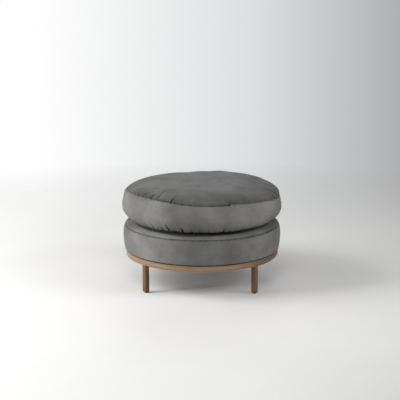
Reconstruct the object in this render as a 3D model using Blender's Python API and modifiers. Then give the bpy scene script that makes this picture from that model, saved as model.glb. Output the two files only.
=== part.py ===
"""A round footstool with a loose boxed cushion on an upholstered drum.

The drum stands on a flat timber ring and four square legs. Lengths are in
metres, +Z is up and -Y is the front. The origin is on the floor, below the
middle of the stool.
"""

import math

import bmesh
import bpy
from mathutils import Matrix

MM = 0.001
FULL_TURN = 2 * math.pi
QUARTER_TURN = math.pi / 2

# Clearance between pieces that touch
GAP = 0.3 * MM

# Edges of turned pieces that turn by more than this stay crisp
SHARP_ANGLE = math.radians(35)

# Facets round each kind of turned piece
RIM_STEPS = 72
ROUND_STEPS = 48
PEG_STEPS = 12
SCREW_STEPS = 10

# Cloth of the drum and of the cushion
CLOTH = 1.5 * MM
SEAM_ALLOWANCE = 5 * MM

# Drum: its widest radius, and how far its foot and its seam draw in from there
BASE_RADIUS = 363 * MM
FOOT_DRAW_IN = 6 * MM
FOOT_BEND = 4 * MM
BASE_SEAM_DRAW_IN = 8 * MM
BASE_SEAM_DROP = 14 * MM
BASE_WIDEST_HEIGHT = 68 * MM
FOOT_FULLNESS = 2
SIDE_FULLNESS = 3
SHOULDER_WIDTH = 52 * MM
SHOULDER_POWER = 2.3
WADDING_AT_FOOT = 13 * MM
FOAM_THICKNESS = 40 * MM

# Legs and their glides
LEG_COUNT = 4
LEG_SIZE = 22 * MM
LEG_LENGTH = 121 * MM
LEG_RIM_INSET = 0.3 * MM
LEG_ARRIS = 1.2 * MM
LEG_FOOT_CHAMFER = 1.8 * MM
TENON_RADIUS = 7 * MM
TENON_LENGTH = 18 * MM
GLIDE_RADIUS = 9.5 * MM
GLIDE_HEIGHT = 5 * MM
GLIDE_EDGE = 1.5 * MM
NAIL_RADIUS = 1.5 * MM
NAIL_LENGTH = 14 * MM
NAIL_POINT = 3 * MM

# Timber ring under the drum
PLINTH_SETBACK = 10 * MM
PLINTH_WIDTH = 72 * MM
PLINTH_THICKNESS = 26 * MM
PLINTH_ARRIS = 2 * MM

# Screws that hold the timber ring to the seat frame
SCREW_COUNT = 8
SCREW_HEM_DISTANCE = 11 * MM
SCREW_RADIUS = 2.2 * MM
SCREW_HEAD_RADIUS = 4.4 * MM
SCREW_HEAD_HEIGHT = 2.8 * MM
SCREW_POINT = 5 * MM
SCREW_RECESS = 0.6 * MM
SCREW_GRIP = 11 * MM

# Seat frame
FRAME_WIDTH = 70 * MM
FRAME_PLY = 18 * MM
POST_COUNT = 8
POST_WIDTH = 60 * MM
POST_DEPTH = 44 * MM
POST_HEIGHT = 44 * MM
POST_ARRIS = 1 * MM
BAND_THICKNESS = 3 * MM
HEM_WIDTH = 22 * MM
DUST_INSET = 10 * MM
DUST_THICKNESS = 0.8 * MM

# Woven webbing across the seat frame
WEB_WIDTH = 50 * MM
WEB_THICKNESS = 1.6 * MM
WEB_PER_WAY = 4
WEB_LAP = 50 * MM
WEB_FLAT_END = 25 * MM
WEB_SLOPE_STEPS = 3

# Loose cushion, with the height of each seam and of its widest line above the underside
CUSHION_OVERHANG = 2.5 * MM
LOWER_SEAM_HEIGHT = 12 * MM
UPPER_SEAM_HEIGHT = 138 * MM
CUSHION_WIDEST_HEIGHT = 78 * MM
CUSHION_STRAIGHT = 12 * MM
LOWER_DRAW_IN = 35 * MM
UPPER_DRAW_IN = 14 * MM
LOWER_FULLNESS = 2
UPPER_FULLNESS = 1.3
UNDERSIDE_ROLL = 92 * MM
UNDERSIDE_POWER = 2.2
CROWN_HEIGHT = 34 * MM
CROWN_POWER = 9
PAD_EASE = 0.7 * MM

# Gathers that the seams draw into the cloth, as waves of (count, phase, share)
GATHER_DEPTH = 2.2 * MM
GATHER_REACH = 30 * MM
GATHER_WAVES = ((6, 0.9, 0.40), (9, 2.3, 0.35), (13, 4.1, 0.25))
LOWER_GATHER_PHASE = 1.7
CROWN_WAVE = 2.5 * MM
CROWN_WAVE_COUNT = 3
CROWN_WAVE_PHASE = 0.8
CROWN_WAVE_FADE = 6
CROWN_LEAN = 2.5 * MM

# Zip across the back of the cushion's border
ZIP_STEPS = 20
ZIP_OPENING = 9 * MM
ZIP_SLOT = 1.2 * MM
TEETH_HEIGHT = 2.4 * MM
TEETH_DEPTH = 2.0 * MM
TAPE_THICKNESS = 0.8 * MM
TAPE_COVERED = 10 * MM
ZIP_END_ROOM = math.radians(2.5)
SLIDER_LENGTH = 12 * MM
SLIDER_HEIGHT = 8 * MM
SLIDER_PLATE = 1.2 * MM
NECK_LENGTH = 8 * MM
BRIDGE_LENGTH = 10 * MM
BRIDGE_WIDTH = 2.4 * MM
BRIDGE_BAR = 1.0 * MM
PULL_LENGTH = 28 * MM
PULL_WIDTH = 7 * MM
PULL_THICKNESS = 1.0 * MM
PULL_CROSSBAR = 1.2 * MM
PULL_PLAY = 0.5 * MM
PULL_CORNER = 2 * MM

# Radii that follow from the sizes above
FOOT_RADIUS = BASE_RADIUS - FOOT_DRAW_IN
BASE_SEAM_RADIUS = BASE_RADIUS - BASE_SEAM_DRAW_IN
PLINTH_RADIUS = BASE_RADIUS - PLINTH_SETBACK
LEG_CIRCLE_RADIUS = PLINTH_RADIUS - LEG_RIM_INSET - LEG_SIZE / 2
WADDING_INNER_RADIUS = FOOT_RADIUS - CLOTH - GAP - WADDING_AT_FOOT
BAND_RADIUS = WADDING_INNER_RADIUS - GAP
FRAME_RADIUS = BAND_RADIUS - BAND_THICKNESS - GAP
FRAME_INNER_RADIUS = FRAME_RADIUS - FRAME_WIDTH
HEM_RADIUS = FRAME_RADIUS - HEM_WIDTH
DUST_RADIUS = FRAME_RADIUS - DUST_INSET
SCREW_CIRCLE_RADIUS = HEM_RADIUS - SCREW_HEM_DISTANCE
CUSHION_RADIUS = BASE_RADIUS + CUSHION_OVERHANG
LOWER_SEAM_RADIUS = CUSHION_RADIUS - LOWER_DRAW_IN
UPPER_SEAM_RADIUS = CUSHION_RADIUS - UPPER_DRAW_IN

# The outermost straps' outer edges cross at the rim of the frame's opening
WEB_REACH = FRAME_INNER_RADIUS / math.sqrt(2)
WEB_PITCH = 2 * (WEB_REACH - WEB_WIDTH / 2) / (WEB_PER_WAY - 1)

# Heights that follow, from the floor up
LEG_FOOT_Z = GLIDE_HEIGHT + GAP
PLINTH_Z = LEG_FOOT_Z + LEG_LENGTH + GAP
PLINTH_TOP_Z = PLINTH_Z + PLINTH_THICKNESS
SCREW_Z = PLINTH_Z + SCREW_RECESS
DUST_Z = PLINTH_TOP_Z + GAP
HEM_Z = DUST_Z + DUST_THICKNESS + GAP
LOWER_RING_Z = HEM_Z + CLOTH + GAP
SCREW_LENGTH = LOWER_RING_Z + SCREW_GRIP - SCREW_Z
POST_Z = LOWER_RING_Z + FRAME_PLY + GAP
UPPER_RING_Z = POST_Z + POST_HEIGHT + GAP
WEB_Z = UPPER_RING_Z + FRAME_PLY + GAP
FOAM_Z = WEB_Z + 2 * (WEB_THICKNESS + GAP)
BASE_TOP_Z = FOAM_Z + FOAM_THICKNESS + GAP + CLOTH
BASE_SEAM_Z = BASE_TOP_Z - BASE_SEAM_DROP
CUSHION_Z = BASE_TOP_Z + GAP

# Room that a seam's turned-in cloth takes above or below the seam
SEAM_LIP = GAP / 2 + CLOTH + GAP

# The zip, from the pad's face outwards to the axis that the pull turns on
FACET = math.cos(math.pi / ROUND_STEPS)
ZIP_START = QUARTER_TURN - ZIP_STEPS * math.pi / ROUND_STEPS
ZIP_SWEEP = ZIP_STEPS * FULL_TURN / ROUND_STEPS
SLIDER_REST = ZIP_START + ZIP_END_ROOM
TAPE_RADIUS = CUSHION_RADIUS - CLOTH - GAP
TEETH_RADIUS = TAPE_RADIUS + TEETH_DEPTH
BACK_PLATE_RADIUS = (TAPE_RADIUS - TAPE_THICKNESS) * FACET - GAP
FRONT_PLATE_RADIUS = TEETH_RADIUS + GAP + SLIDER_PLATE
PULL_SPACE = PULL_THICKNESS + 2 * PULL_PLAY
PULL_AXIS_RADIUS = FRONT_PLATE_RADIUS + PULL_SPACE / 2
PAD_INSET = CUSHION_RADIUS - BACK_PLATE_RADIUS + SLIDER_PLATE + GAP


# Scene and object helpers


def empty_scene():
    for old in list(bpy.data.objects):
        bpy.data.objects.remove(old)


def new_collection(name):
    collection = bpy.data.collections.new(name)
    bpy.context.scene.collection.children.link(collection)
    return collection


def new_material(name, color, roughness, metallic=0.0):
    material = bpy.data.materials.new(name)
    material.use_nodes = True
    shader = material.node_tree.nodes["Principled BSDF"]
    shader.inputs["Base Color"].default_value = (*color, 1.0)
    shader.inputs["Roughness"].default_value = roughness
    shader.inputs["Metallic"].default_value = metallic
    material.diffuse_color = (*color, 1.0)
    return material


def new_object(name, mesh, collection):
    obj = bpy.data.objects.new(name, mesh)
    collection.objects.link(obj)
    return obj


def new_part(name, mesh, material, parent=None):
    if not mesh.materials:
        mesh.materials.append(material)
    part = new_object(name, mesh, PARTS)
    part.parent = parent
    return part


def new_cutter(name, mesh, location=(0.0, 0.0, 0.0), parent=None):
    cutter = new_object(name, mesh, CUTTERS)
    cutter.location = location
    cutter.parent = parent
    cutter.hide_render = True
    cutter.display_type = "WIRE"
    return cutter


def new_empty(name, height, turn=0.0, parent=None):
    """A point on the stool's axis that carries what moves."""
    empty = new_object(name, None, PARTS)
    empty.location.z = height
    empty.rotation_euler.z = turn
    empty.parent = parent
    return empty


def settled_mesh(obj):
    """The object's mesh with its modifiers worked in."""
    bpy.context.view_layer.update()
    graph = bpy.context.evaluated_depsgraph_get()
    return bpy.data.meshes.new_from_object(obj.evaluated_get(graph))


def boolean(obj, other, operation):
    modifier = obj.modifiers.new(other.name, "BOOLEAN")
    modifier.object = other
    modifier.operation = operation
    modifier.solver = "EXACT"


def ring_angles(count, first):
    return [first + FULL_TURN * i / count for i in range(count)]


def around(radius, angle, z):
    return (radius * math.cos(angle), radius * math.sin(angle), z)


empty_scene()
PARTS = new_collection("footstool")
CUTTERS = new_collection("cutters")


# Outlines, as points of (radius, height)


def clockwise(outline):
    pairs = zip(outline, outline[1:] + outline[:1])
    area = sum(a[0] * b[1] - b[0] * a[1] for a, b in pairs)
    return outline if area < 0 else outline[::-1]


def offset(line, distance):
    """The line moved to its right-hand side, mitred at its points."""
    normals = []
    for (r0, z0), (r1, z1) in zip(line, line[1:]):
        length = math.hypot(r1 - r0, z1 - z0)
        normals.append(((z1 - z0) / length, (r0 - r1) / length))
    moved = []
    for i, (r, z) in enumerate(line):
        before = normals[max(i - 1, 0)]
        after = normals[min(i, len(normals) - 1)]
        scale = distance / (1 + before[0] * after[0] + before[1] * after[1])
        moved_r = r + (before[0] + after[0]) * scale if r > 0 else 0.0
        moved.append((moved_r, z + (before[1] + after[1]) * scale))
    return moved


def cloth_outline(line):
    """A strip of cloth whose outer face is the line, with its body on the line's right."""
    return line + offset(line, CLOTH)[::-1]


def crossing(a, b, axis, value):
    share = (value - a[axis]) / (b[axis] - a[axis])
    return tuple(a[i] + (b[i] - a[i]) * share for i in range(2))


def clipped(line, axis, low, high):
    """The stretch of a line whose radius (axis 0) or height (axis 1) lies in a range."""
    kept = []
    for a, b in zip(line, line[1:]):
        cuts = [v for v in (low, high) if (a[axis] - v) * (b[axis] - v) < 0]
        cuts.sort(key=lambda v: abs(v - a[axis]))
        run = [a] + [crossing(a, b, axis, v) for v in cuts] + [b]
        for point in run:
            inside = low - 1e-9 <= point[axis] <= high + 1e-9
            if inside and (not kept or math.dist(point, kept[-1]) > 1e-7):
                kept.append(point)
    return kept


def turned_in(before, corner):
    """The end of cloth that comes to a seam's corner and is folded flat towards the axis."""
    along_r = (corner[0] - before[0]) / math.dist(before, corner)
    opening = math.pi - math.acos(-along_r)
    fold = CLOTH / math.tan(opening / 2)
    return (corner[0] - fold - SEAM_ALLOWANCE, corner[1])


def seam_groove(line_above, line_below):
    """Radius that stays clear of the turned-in cloth of both lines that meet in a seam."""
    above = turned_in(line_above[-2], line_above[-1])
    below = turned_in(line_below[1], line_below[0])
    return min(above[0], below[0]) - GAP


def swell(widest, end, shares, fullness):
    """Points between a widest point and an end that draws in, at shares of the way."""
    points = []
    for share in shares:
        r = widest[0] + (end[0] - widest[0]) * share ** fullness
        points.append((r, widest[1] + (end[1] - widest[1]) * share))
    return points


def base_cap_line():
    """Outer face of the drum's top, from the axis over its rounded shoulder to the seam."""
    bottom = BASE_SEAM_Z + GAP / 2
    flat_radius = BASE_SEAM_RADIUS - SHOULDER_WIDTH
    line = [(0.0, BASE_TOP_Z), (flat_radius, BASE_TOP_Z)]
    for degrees in (58, 38, 19):
        cos = math.cos(math.radians(degrees)) ** (2 / SHOULDER_POWER)
        sin = math.sin(math.radians(degrees)) ** (2 / SHOULDER_POWER)
        line.append((flat_radius + SHOULDER_WIDTH * cos, bottom + (BASE_TOP_Z - bottom) * sin))
    return line + [(BASE_SEAM_RADIUS, bottom)]


def base_side_line():
    """Outer face of the drum's side, from its seam to the bend at its foot."""
    seam = (BASE_SEAM_RADIUS, BASE_SEAM_Z - GAP / 2)
    widest = (BASE_RADIUS, HEM_Z + BASE_WIDEST_HEIGHT)
    foot = (FOOT_RADIUS, HEM_Z + FOOT_BEND)
    line = swell(widest, seam, (1.0, 0.7), SIDE_FULLNESS)
    line += swell(widest, foot, (0.0, 0.55, 1.0), FOOT_FULLNESS)
    return line + [(FOOT_RADIUS - FOOT_BEND, HEM_Z)]


def cushion_top_line():
    """Outer face of the cushion's crown, from the axis to the upper seam."""
    seam_z = UPPER_SEAM_HEIGHT + GAP / 2
    line = []
    for share in (0.0, 0.5, 0.73, 0.86, 0.95, 1.0):
        line.append((UPPER_SEAM_RADIUS * share, seam_z + CROWN_HEIGHT * (1 - share ** CROWN_POWER)))
    return line


def cushion_border_line():
    """Outer face of the border, from the upper seam past its straight middle to the lower seam."""
    upper_seam = (UPPER_SEAM_RADIUS, UPPER_SEAM_HEIGHT - GAP / 2)
    lower_seam = (LOWER_SEAM_RADIUS, LOWER_SEAM_HEIGHT + GAP / 2)
    straight_top = (CUSHION_RADIUS, CUSHION_WIDEST_HEIGHT + CUSHION_STRAIGHT / 2)
    straight_foot = (CUSHION_RADIUS, CUSHION_WIDEST_HEIGHT - CUSHION_STRAIGHT / 2)
    line = swell(straight_top, upper_seam, (1.0, 0.5, 0.0), UPPER_FULLNESS)
    return line + swell(straight_foot, lower_seam, (0.0, 0.45, 0.78, 1.0), LOWER_FULLNESS)


def cushion_bottom_line():
    """Outer face of the underside, from the lower seam to the axis."""
    seam_z = LOWER_SEAM_HEIGHT - GAP / 2
    line = []
    for share in (1.0, 0.74, 0.42, 0.0):
        r = LOWER_SEAM_RADIUS - UNDERSIDE_ROLL * (1 - share)
        line.append((r, seam_z * share ** UNDERSIDE_POWER))
    return line + [(0.0, 0.0)]


# Turned and boxed solids


def turned_mesh(name, outline, steps, sweep=FULL_TURN, start=0.0):
    """A closed outline swept round the Z axis, with flat ends where it stops short."""
    points = clockwise(outline)
    on_axis = [i for i, point in enumerate(points) if point[0] < 1e-9]
    if on_axis:
        top = next(i for i in on_axis if points[i - 1][0] < 1e-9)
        points = points[top:] + points[:top]
    edges = [(i, i + 1) for i in range(len(points) - 1)]
    if not on_axis:
        edges.append((len(points) - 1, 0))
    profile = bpy.data.meshes.new(name + "_profile")
    profile.from_pydata([around(r, start, z) for r, z in points], edges, [])
    blank = new_object(name + "_blank", profile, CUTTERS)
    screw = blank.modifiers.new("turn", "SCREW")
    screw.angle = sweep
    screw.steps = steps
    screw.render_steps = steps
    screw.use_merge_vertices = True
    screw.merge_threshold = 0.00001
    mesh = settled_mesh(blank)
    mesh.name = name
    bpy.data.objects.remove(blank)
    if sweep < FULL_TURN:
        close_ends(mesh)
    mesh.shade_smooth()
    mesh.set_sharp_from_angle(angle=SHARP_ANGLE)
    return mesh


def close_ends(mesh):
    work = bmesh.new()
    work.from_mesh(mesh)
    rims = [edge for edge in work.edges if edge.is_boundary]
    bmesh.ops.holes_fill(work, edges=rims)
    bmesh.ops.recalc_face_normals(work, faces=work.faces)
    work.to_mesh(mesh)
    work.free()


def turned(name, outline, material, steps=ROUND_STEPS):
    return new_part(name, turned_mesh(name, outline, steps), material)


def box_mesh(name, low, high):
    """A box between two corners."""
    size = [b - a for a, b in zip(low, high)]
    centre = [(a + b) / 2 for a, b in zip(low, high)]
    work = bmesh.new()
    place = Matrix.Translation(centre) @ Matrix.Diagonal((*size, 1.0))
    bmesh.ops.create_cube(work, size=1.0, matrix=place)
    mesh = bpy.data.meshes.new(name)
    work.to_mesh(mesh)
    work.free()
    return mesh


def chamfer(work, edges, width, segments=1):
    bmesh.ops.bevel(work, geom=edges, offset=width, segments=segments, affect="EDGES", clamp_overlap=True)


def ring_outline(inner, outer, bottom, top):
    return [(inner, top), (outer, top), (outer, bottom), (inner, bottom)]


# Materials


def velvet():
    return new_material("grey_velvet", (0.165, 0.162, 0.156), 0.85)


def stained_oak():
    return new_material("stained_oak", (0.27, 0.165, 0.10), 0.5)


def birch_ply():
    return new_material("birch_ply", (0.62, 0.47, 0.31), 0.6)


def hardboard():
    return new_material("hardboard", (0.30, 0.19, 0.11), 0.7)


def upholstery_foam():
    return new_material("upholstery_foam", (0.80, 0.76, 0.58), 0.9)


def fibre_wadding():
    return new_material("fibre_wadding", (0.85, 0.85, 0.83), 0.95)


def jute_webbing():
    return new_material("jute_webbing", (0.36, 0.27, 0.16), 0.9)


def black_lining():
    return new_material("black_lining", (0.02, 0.02, 0.02), 0.9)


def white_cambric():
    return new_material("white_cambric", (0.82, 0.81, 0.78), 0.85)


def zinc_steel():
    return new_material("zinc_steel", (0.62, 0.60, 0.55), 0.35, 1.0)


def dark_nylon():
    return new_material("dark_nylon", (0.035, 0.028, 0.024), 0.55)


def zip_nylon():
    return new_material("zip_nylon", (0.12, 0.12, 0.12), 0.6)


def zip_metal():
    return new_material("zip_metal", (0.22, 0.22, 0.22), 0.3, 1.0)


VELVET = velvet()
OAK = stained_oak()
PLY = birch_ply()


# Legs, glides and timber ring


def tenon_outline(clearance):
    """A round tenon above z = 0, with a root that reaches well below it."""
    radius = TENON_RADIUS + clearance
    tip = TENON_LENGTH + clearance
    root = -TENON_RADIUS
    return [(0.0, tip), (radius, tip), (radius, root), (0.0, root)]


def nail_outline(clearance, root):
    """A nail that points up from z = 0, with a root below it."""
    radius = NAIL_RADIUS + clearance
    return [(0.0, NAIL_LENGTH + clearance), (radius, NAIL_LENGTH - NAIL_POINT), (radius, root), (0.0, root)]


def leg_mesh():
    half = LEG_SIZE / 2
    mesh = box_mesh("leg", (-half, -half, 0.0), (half, half, LEG_LENGTH))
    work = bmesh.new()
    work.from_mesh(mesh)
    upright = [e for e in work.edges if abs(e.verts[0].co.z - e.verts[1].co.z) > half]
    chamfer(work, upright, LEG_ARRIS)
    foot = [e for e in work.edges if max(v.co.z for v in e.verts) < half]
    chamfer(work, foot, LEG_FOOT_CHAMFER)
    work.to_mesh(mesh)
    work.free()
    return mesh


def leg(corner, angle, tenon_mesh, nail_bore_mesh):
    """A square leg, one face outwards, with a round tenon on top and a nail bore in its foot."""
    foot = around(LEG_CIRCLE_RADIUS, angle, LEG_FOOT_Z)
    shoulder = around(LEG_CIRCLE_RADIUS, angle, LEG_FOOT_Z + LEG_LENGTH)
    part = new_part("leg_" + corner, leg_mesh(), OAK)
    part.location = foot
    part.rotation_euler.z = angle
    boolean(part, new_cutter("tenon_" + corner, tenon_mesh, shoulder), "UNION")
    boolean(part, new_cutter("nail_bore_" + corner, nail_bore_mesh, foot), "DIFFERENCE")


def glide_mesh():
    """A nylon disc on a nail, drawn from the leg's foot, which is z = 0."""
    outline = nail_outline(0.0, -GAP)[:-1]
    outline += [(GLIDE_RADIUS, -GAP), (GLIDE_RADIUS, GLIDE_EDGE - LEG_FOOT_Z)]
    outline += [(GLIDE_RADIUS - GLIDE_EDGE, -LEG_FOOT_Z), (0.0, -LEG_FOOT_Z)]
    return turned_mesh("glide", outline, PEG_STEPS)


def legs_and_glides():
    tenon = turned_mesh("tenon", tenon_outline(0.0), PEG_STEPS)
    nail_bore = turned_mesh("nail_bore", nail_outline(GAP, -GAP), PEG_STEPS)
    disc = glide_mesh()
    nylon = dark_nylon()
    for corner, angle in leg_places():
        leg(corner, angle, tenon, nail_bore)
        part = new_part("glide_" + corner, disc, nylon)
        part.location = around(LEG_CIRCLE_RADIUS, angle, LEG_FOOT_Z)


def leg_places():
    corners = ("back_right", "back_left", "front_left", "front_right")
    return zip(corners, ring_angles(LEG_COUNT, QUARTER_TURN / 2))


def screw_outline(clearance, below):
    """A countersunk screw that points up from its head's face at z = 0."""
    head = SCREW_HEAD_RADIUS + clearance
    shank = SCREW_RADIUS + clearance
    outline = [(0.0, SCREW_LENGTH + clearance), (shank, SCREW_LENGTH - SCREW_POINT)]
    outline += [(shank, SCREW_HEAD_HEIGHT), (head, 0.0)]
    if below:
        outline.append((head, -below))
    return outline + [(0.0, -below)]


def screw_places():
    angles = ring_angles(SCREW_COUNT, math.pi / SCREW_COUNT)
    return [around(SCREW_CIRCLE_RADIUS, angle, SCREW_Z) for angle in angles]


def plinth_ring(bores):
    """The flat timber ring, with a socket for each leg and a countersunk hole for each screw."""
    inner = PLINTH_RADIUS - PLINTH_WIDTH
    arris_radius = PLINTH_RADIUS - PLINTH_ARRIS
    outline = [(inner, PLINTH_TOP_Z), (arris_radius, PLINTH_TOP_Z)]
    outline += [(PLINTH_RADIUS, PLINTH_TOP_Z - PLINTH_ARRIS), (PLINTH_RADIUS, PLINTH_Z + PLINTH_ARRIS)]
    outline += [(arris_radius, PLINTH_Z), (inner, PLINTH_Z)]
    part = turned("plinth_ring", outline, OAK, RIM_STEPS)
    socket = turned_mesh("socket", tenon_outline(GAP), PEG_STEPS)
    for corner, angle in leg_places():
        place = around(LEG_CIRCLE_RADIUS, angle, PLINTH_Z)
        boolean(part, new_cutter("socket_" + corner, socket, place), "DIFFERENCE")
    for bore in bores:
        boolean(part, bore, "DIFFERENCE")


def plinth_screws():
    mesh = turned_mesh("plinth_screw", screw_outline(0.0, 0.0), SCREW_STEPS)
    steel = zinc_steel()
    for number, place in enumerate(screw_places(), 1):
        new_part(f"plinth_screw_{number}", mesh, steel).location = place


def screw_bores():
    mesh = turned_mesh("screw_bore", screw_outline(GAP, 2 * SCREW_RECESS), SCREW_STEPS)
    return [new_cutter(f"screw_bore_{i}", mesh, place) for i, place in enumerate(screw_places(), 1)]


# Seat frame


def frame_rings(bores):
    for name, bottom in (("lower_frame_ring", LOWER_RING_Z), ("upper_frame_ring", UPPER_RING_Z)):
        outline = ring_outline(FRAME_INNER_RADIUS, FRAME_RADIUS, bottom, bottom + FRAME_PLY)
        part = turned(name, outline, PLY)
        if bottom == LOWER_RING_Z:
            for bore in bores:
                boolean(part, bore, "DIFFERENCE")


def frame_posts():
    """Blocks between the two frame rings, whose outer corners stay inside the band."""
    outer_face = math.sqrt((FRAME_RADIUS * FACET) ** 2 - (POST_WIDTH / 2) ** 2)
    half = POST_WIDTH / 2
    mesh = box_mesh("frame_post", (-POST_DEPTH, -half, 0.0), (0.0, half, POST_HEIGHT))
    for number, angle in enumerate(ring_angles(POST_COUNT, math.pi / POST_COUNT), 1):
        part = new_part(f"frame_post_{number}", mesh, PLY)
        part.location = around(outer_face, angle, POST_Z)
        part.rotation_euler.z = angle
        arris = part.modifiers.new("arris", "BEVEL")
        arris.width = POST_ARRIS
        arris.segments = 1


def frame_band():
    """Bent board round the outside of the frame, from its underside to its top."""
    top = UPPER_RING_Z + FRAME_PLY
    turned("frame_band", ring_outline(FRAME_RADIUS + GAP, BAND_RADIUS, LOWER_RING_Z, top), hardboard())


def web_offsets():
    middle = (WEB_PER_WAY - 1) / 2
    return [(i - middle) * WEB_PITCH for i in range(WEB_PER_WAY)]


def web_stops(number):
    """Places along a strap, each with whether the strap lies over its neighbours there."""
    edge = abs(web_offsets()[number]) + WEB_WIDTH / 2
    half = math.sqrt(FRAME_INNER_RADIUS ** 2 - edge ** 2) + WEB_LAP
    stops = [(-half, False), (WEB_FLAT_END - half, False)]
    for other, place in enumerate(web_offsets()):
        over = (other + number) % 2 == 1
        stops += [(place - WEB_WIDTH / 2 - GAP, over), (place + WEB_WIDTH / 2 + GAP, over)]
    return stops + [(half - WEB_FLAT_END, False), (half, False)]


def web_path(stops):
    """Points of (distance along the strap, height), with an eased slope where it changes level."""
    lift = WEB_THICKNESS + GAP
    path = [(stops[0][0], WEB_Z)]
    for (start, over), (end, next_over) in zip(stops, stops[1:]):
        steps = WEB_SLOPE_STEPS if over != next_over else 1
        for step in range(1, steps + 1):
            ease = (1 - math.cos(math.pi * step / steps)) / 2
            level = over + (next_over - over) * ease
            path.append((start + (end - start) * step / steps, WEB_Z + lift * level))
    return path


def web_strap(name, number, across, material):
    """One strap of the seat, which goes over and under the straps that cross it by turns."""
    path = web_path(web_stops(number))
    centre = web_offsets()[number]
    work = bmesh.new()
    bmesh.ops.create_grid(work, x_segments=len(path) - 1, y_segments=1, size=0.5)
    columns = sorted({round(v.co.x, 6) for v in work.verts})
    for vertex in work.verts:
        along, height = path[columns.index(round(vertex.co.x, 6))]
        sideways = centre + WEB_WIDTH * vertex.co.y
        vertex.co = (along, sideways, height) if across else (-sideways, along, height)
    mesh = bpy.data.meshes.new(name)
    work.to_mesh(mesh)
    work.free()
    thicken = new_part(name, mesh, material).modifiers.new("thickness", "SOLIDIFY")
    thicken.thickness = WEB_THICKNESS
    thicken.offset = 1.0


def webbing():
    jute = jute_webbing()
    for number in range(WEB_PER_WAY):
        web_strap(f"web_across_{number + 1}", number, True, jute)
        web_strap(f"web_along_{number + 1}", number, False, jute)


# Drum upholstery


def base_cover():
    cap = base_cap_line()
    turned("base_cover_top", cloth_outline(cap + [turned_in(cap[-2], cap[-1])]), VELVET)
    side = base_side_line()
    side_cloth = [turned_in(side[1], side[0])] + side + [(HEM_RADIUS, HEM_Z)]
    turned("base_cover_side", cloth_outline(side_cloth), VELVET)


def seat_foam():
    """The pad under the drum's top, which steps in where the seam is turned in."""
    cap, side = base_cap_line(), base_side_line()
    groove = seam_groove(cap, side)
    upper_lip, lower_lip = BASE_SEAM_Z + SEAM_LIP, BASE_SEAM_Z - SEAM_LIP
    outline = clipped(offset(cap, CLOTH + GAP), 1, upper_lip, BASE_TOP_Z)
    outline += [(groove, upper_lip), (groove, lower_lip)]
    outline += clipped(offset(side, CLOTH + GAP), 1, FOAM_Z, lower_lip)
    turned("seat_foam", outline + [(0.0, FOAM_Z)], upholstery_foam())


def side_wadding():
    top = FOAM_Z - GAP
    line = clipped(offset(base_side_line(), CLOTH + GAP), 1, LOWER_RING_Z, top)
    outline = [(WADDING_INNER_RADIUS, top)] + line + [(WADDING_INNER_RADIUS, LOWER_RING_Z)]
    turned("side_wadding", outline, fibre_wadding())


def dust_cover(bores):
    """Thin lining across the underside of the frame, pierced by the screws."""
    top = DUST_Z + DUST_THICKNESS
    outline = [(0.0, top), (DUST_RADIUS, top), (DUST_RADIUS, DUST_Z), (0.0, DUST_Z)]
    part = turned("dust_cover", outline, black_lining())
    for bore in bores:
        boolean(part, bore, "DIFFERENCE")


# Loose cushion, in a frame whose z = 0 is its underside


def gather(angle):
    return sum(depth * math.sin(count * angle + phase) for count, phase, depth in GATHER_WAVES)


def nearness(r, z, seam_radius, seam_z):
    away = math.hypot(r - seam_radius, z - seam_z) / GATHER_REACH
    return math.exp(-away * away)


def draped(co):
    """Where a point of the cushion lies once the seams are drawn up and the crown has settled."""
    r = math.hypot(co.x, co.y)
    if r < 1e-6:
        return co
    angle = math.atan2(co.y, co.x)
    upper = nearness(r, co.z, UPPER_SEAM_RADIUS, UPPER_SEAM_HEIGHT) * gather(angle)
    lower = nearness(r, co.z, LOWER_SEAM_RADIUS, LOWER_SEAM_HEIGHT) * gather(angle + LOWER_GATHER_PHASE)
    out = 1 - GATHER_DEPTH * (upper + lower) / r
    share = min(r / UPPER_SEAM_RADIUS, 1.0)
    height = max(co.z - CUSHION_WIDEST_HEIGHT, 0.0) / (UPPER_SEAM_HEIGHT - CUSHION_WIDEST_HEIGHT)
    wave = CROWN_WAVE * math.sin(CROWN_WAVE_COUNT * angle + CROWN_WAVE_PHASE) * share
    swollen = (wave + CROWN_LEAN * math.cos(angle)) * share * (1 - share ** CROWN_WAVE_FADE)
    rise = swollen * height - GATHER_DEPTH * upper / 2
    co.x, co.y, co.z = co.x * out, co.y * out, co.z + rise
    return co


def cushion_piece(name, outline, material, parent, steps=ROUND_STEPS, start=0.0):
    """A turned piece of the cushion, draped. One that stops short keeps clear of its neighbours."""
    sweep = FULL_TURN * steps / ROUND_STEPS
    if steps < ROUND_STEPS:
        trim = GAP / 2 / LOWER_SEAM_RADIUS
        start, sweep = start + trim, sweep - 2 * trim
    mesh = turned_mesh(name, outline, steps, sweep, start)
    for vertex in mesh.vertices:
        vertex.co = draped(vertex.co)
    new_part(name, mesh, material, parent)


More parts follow.
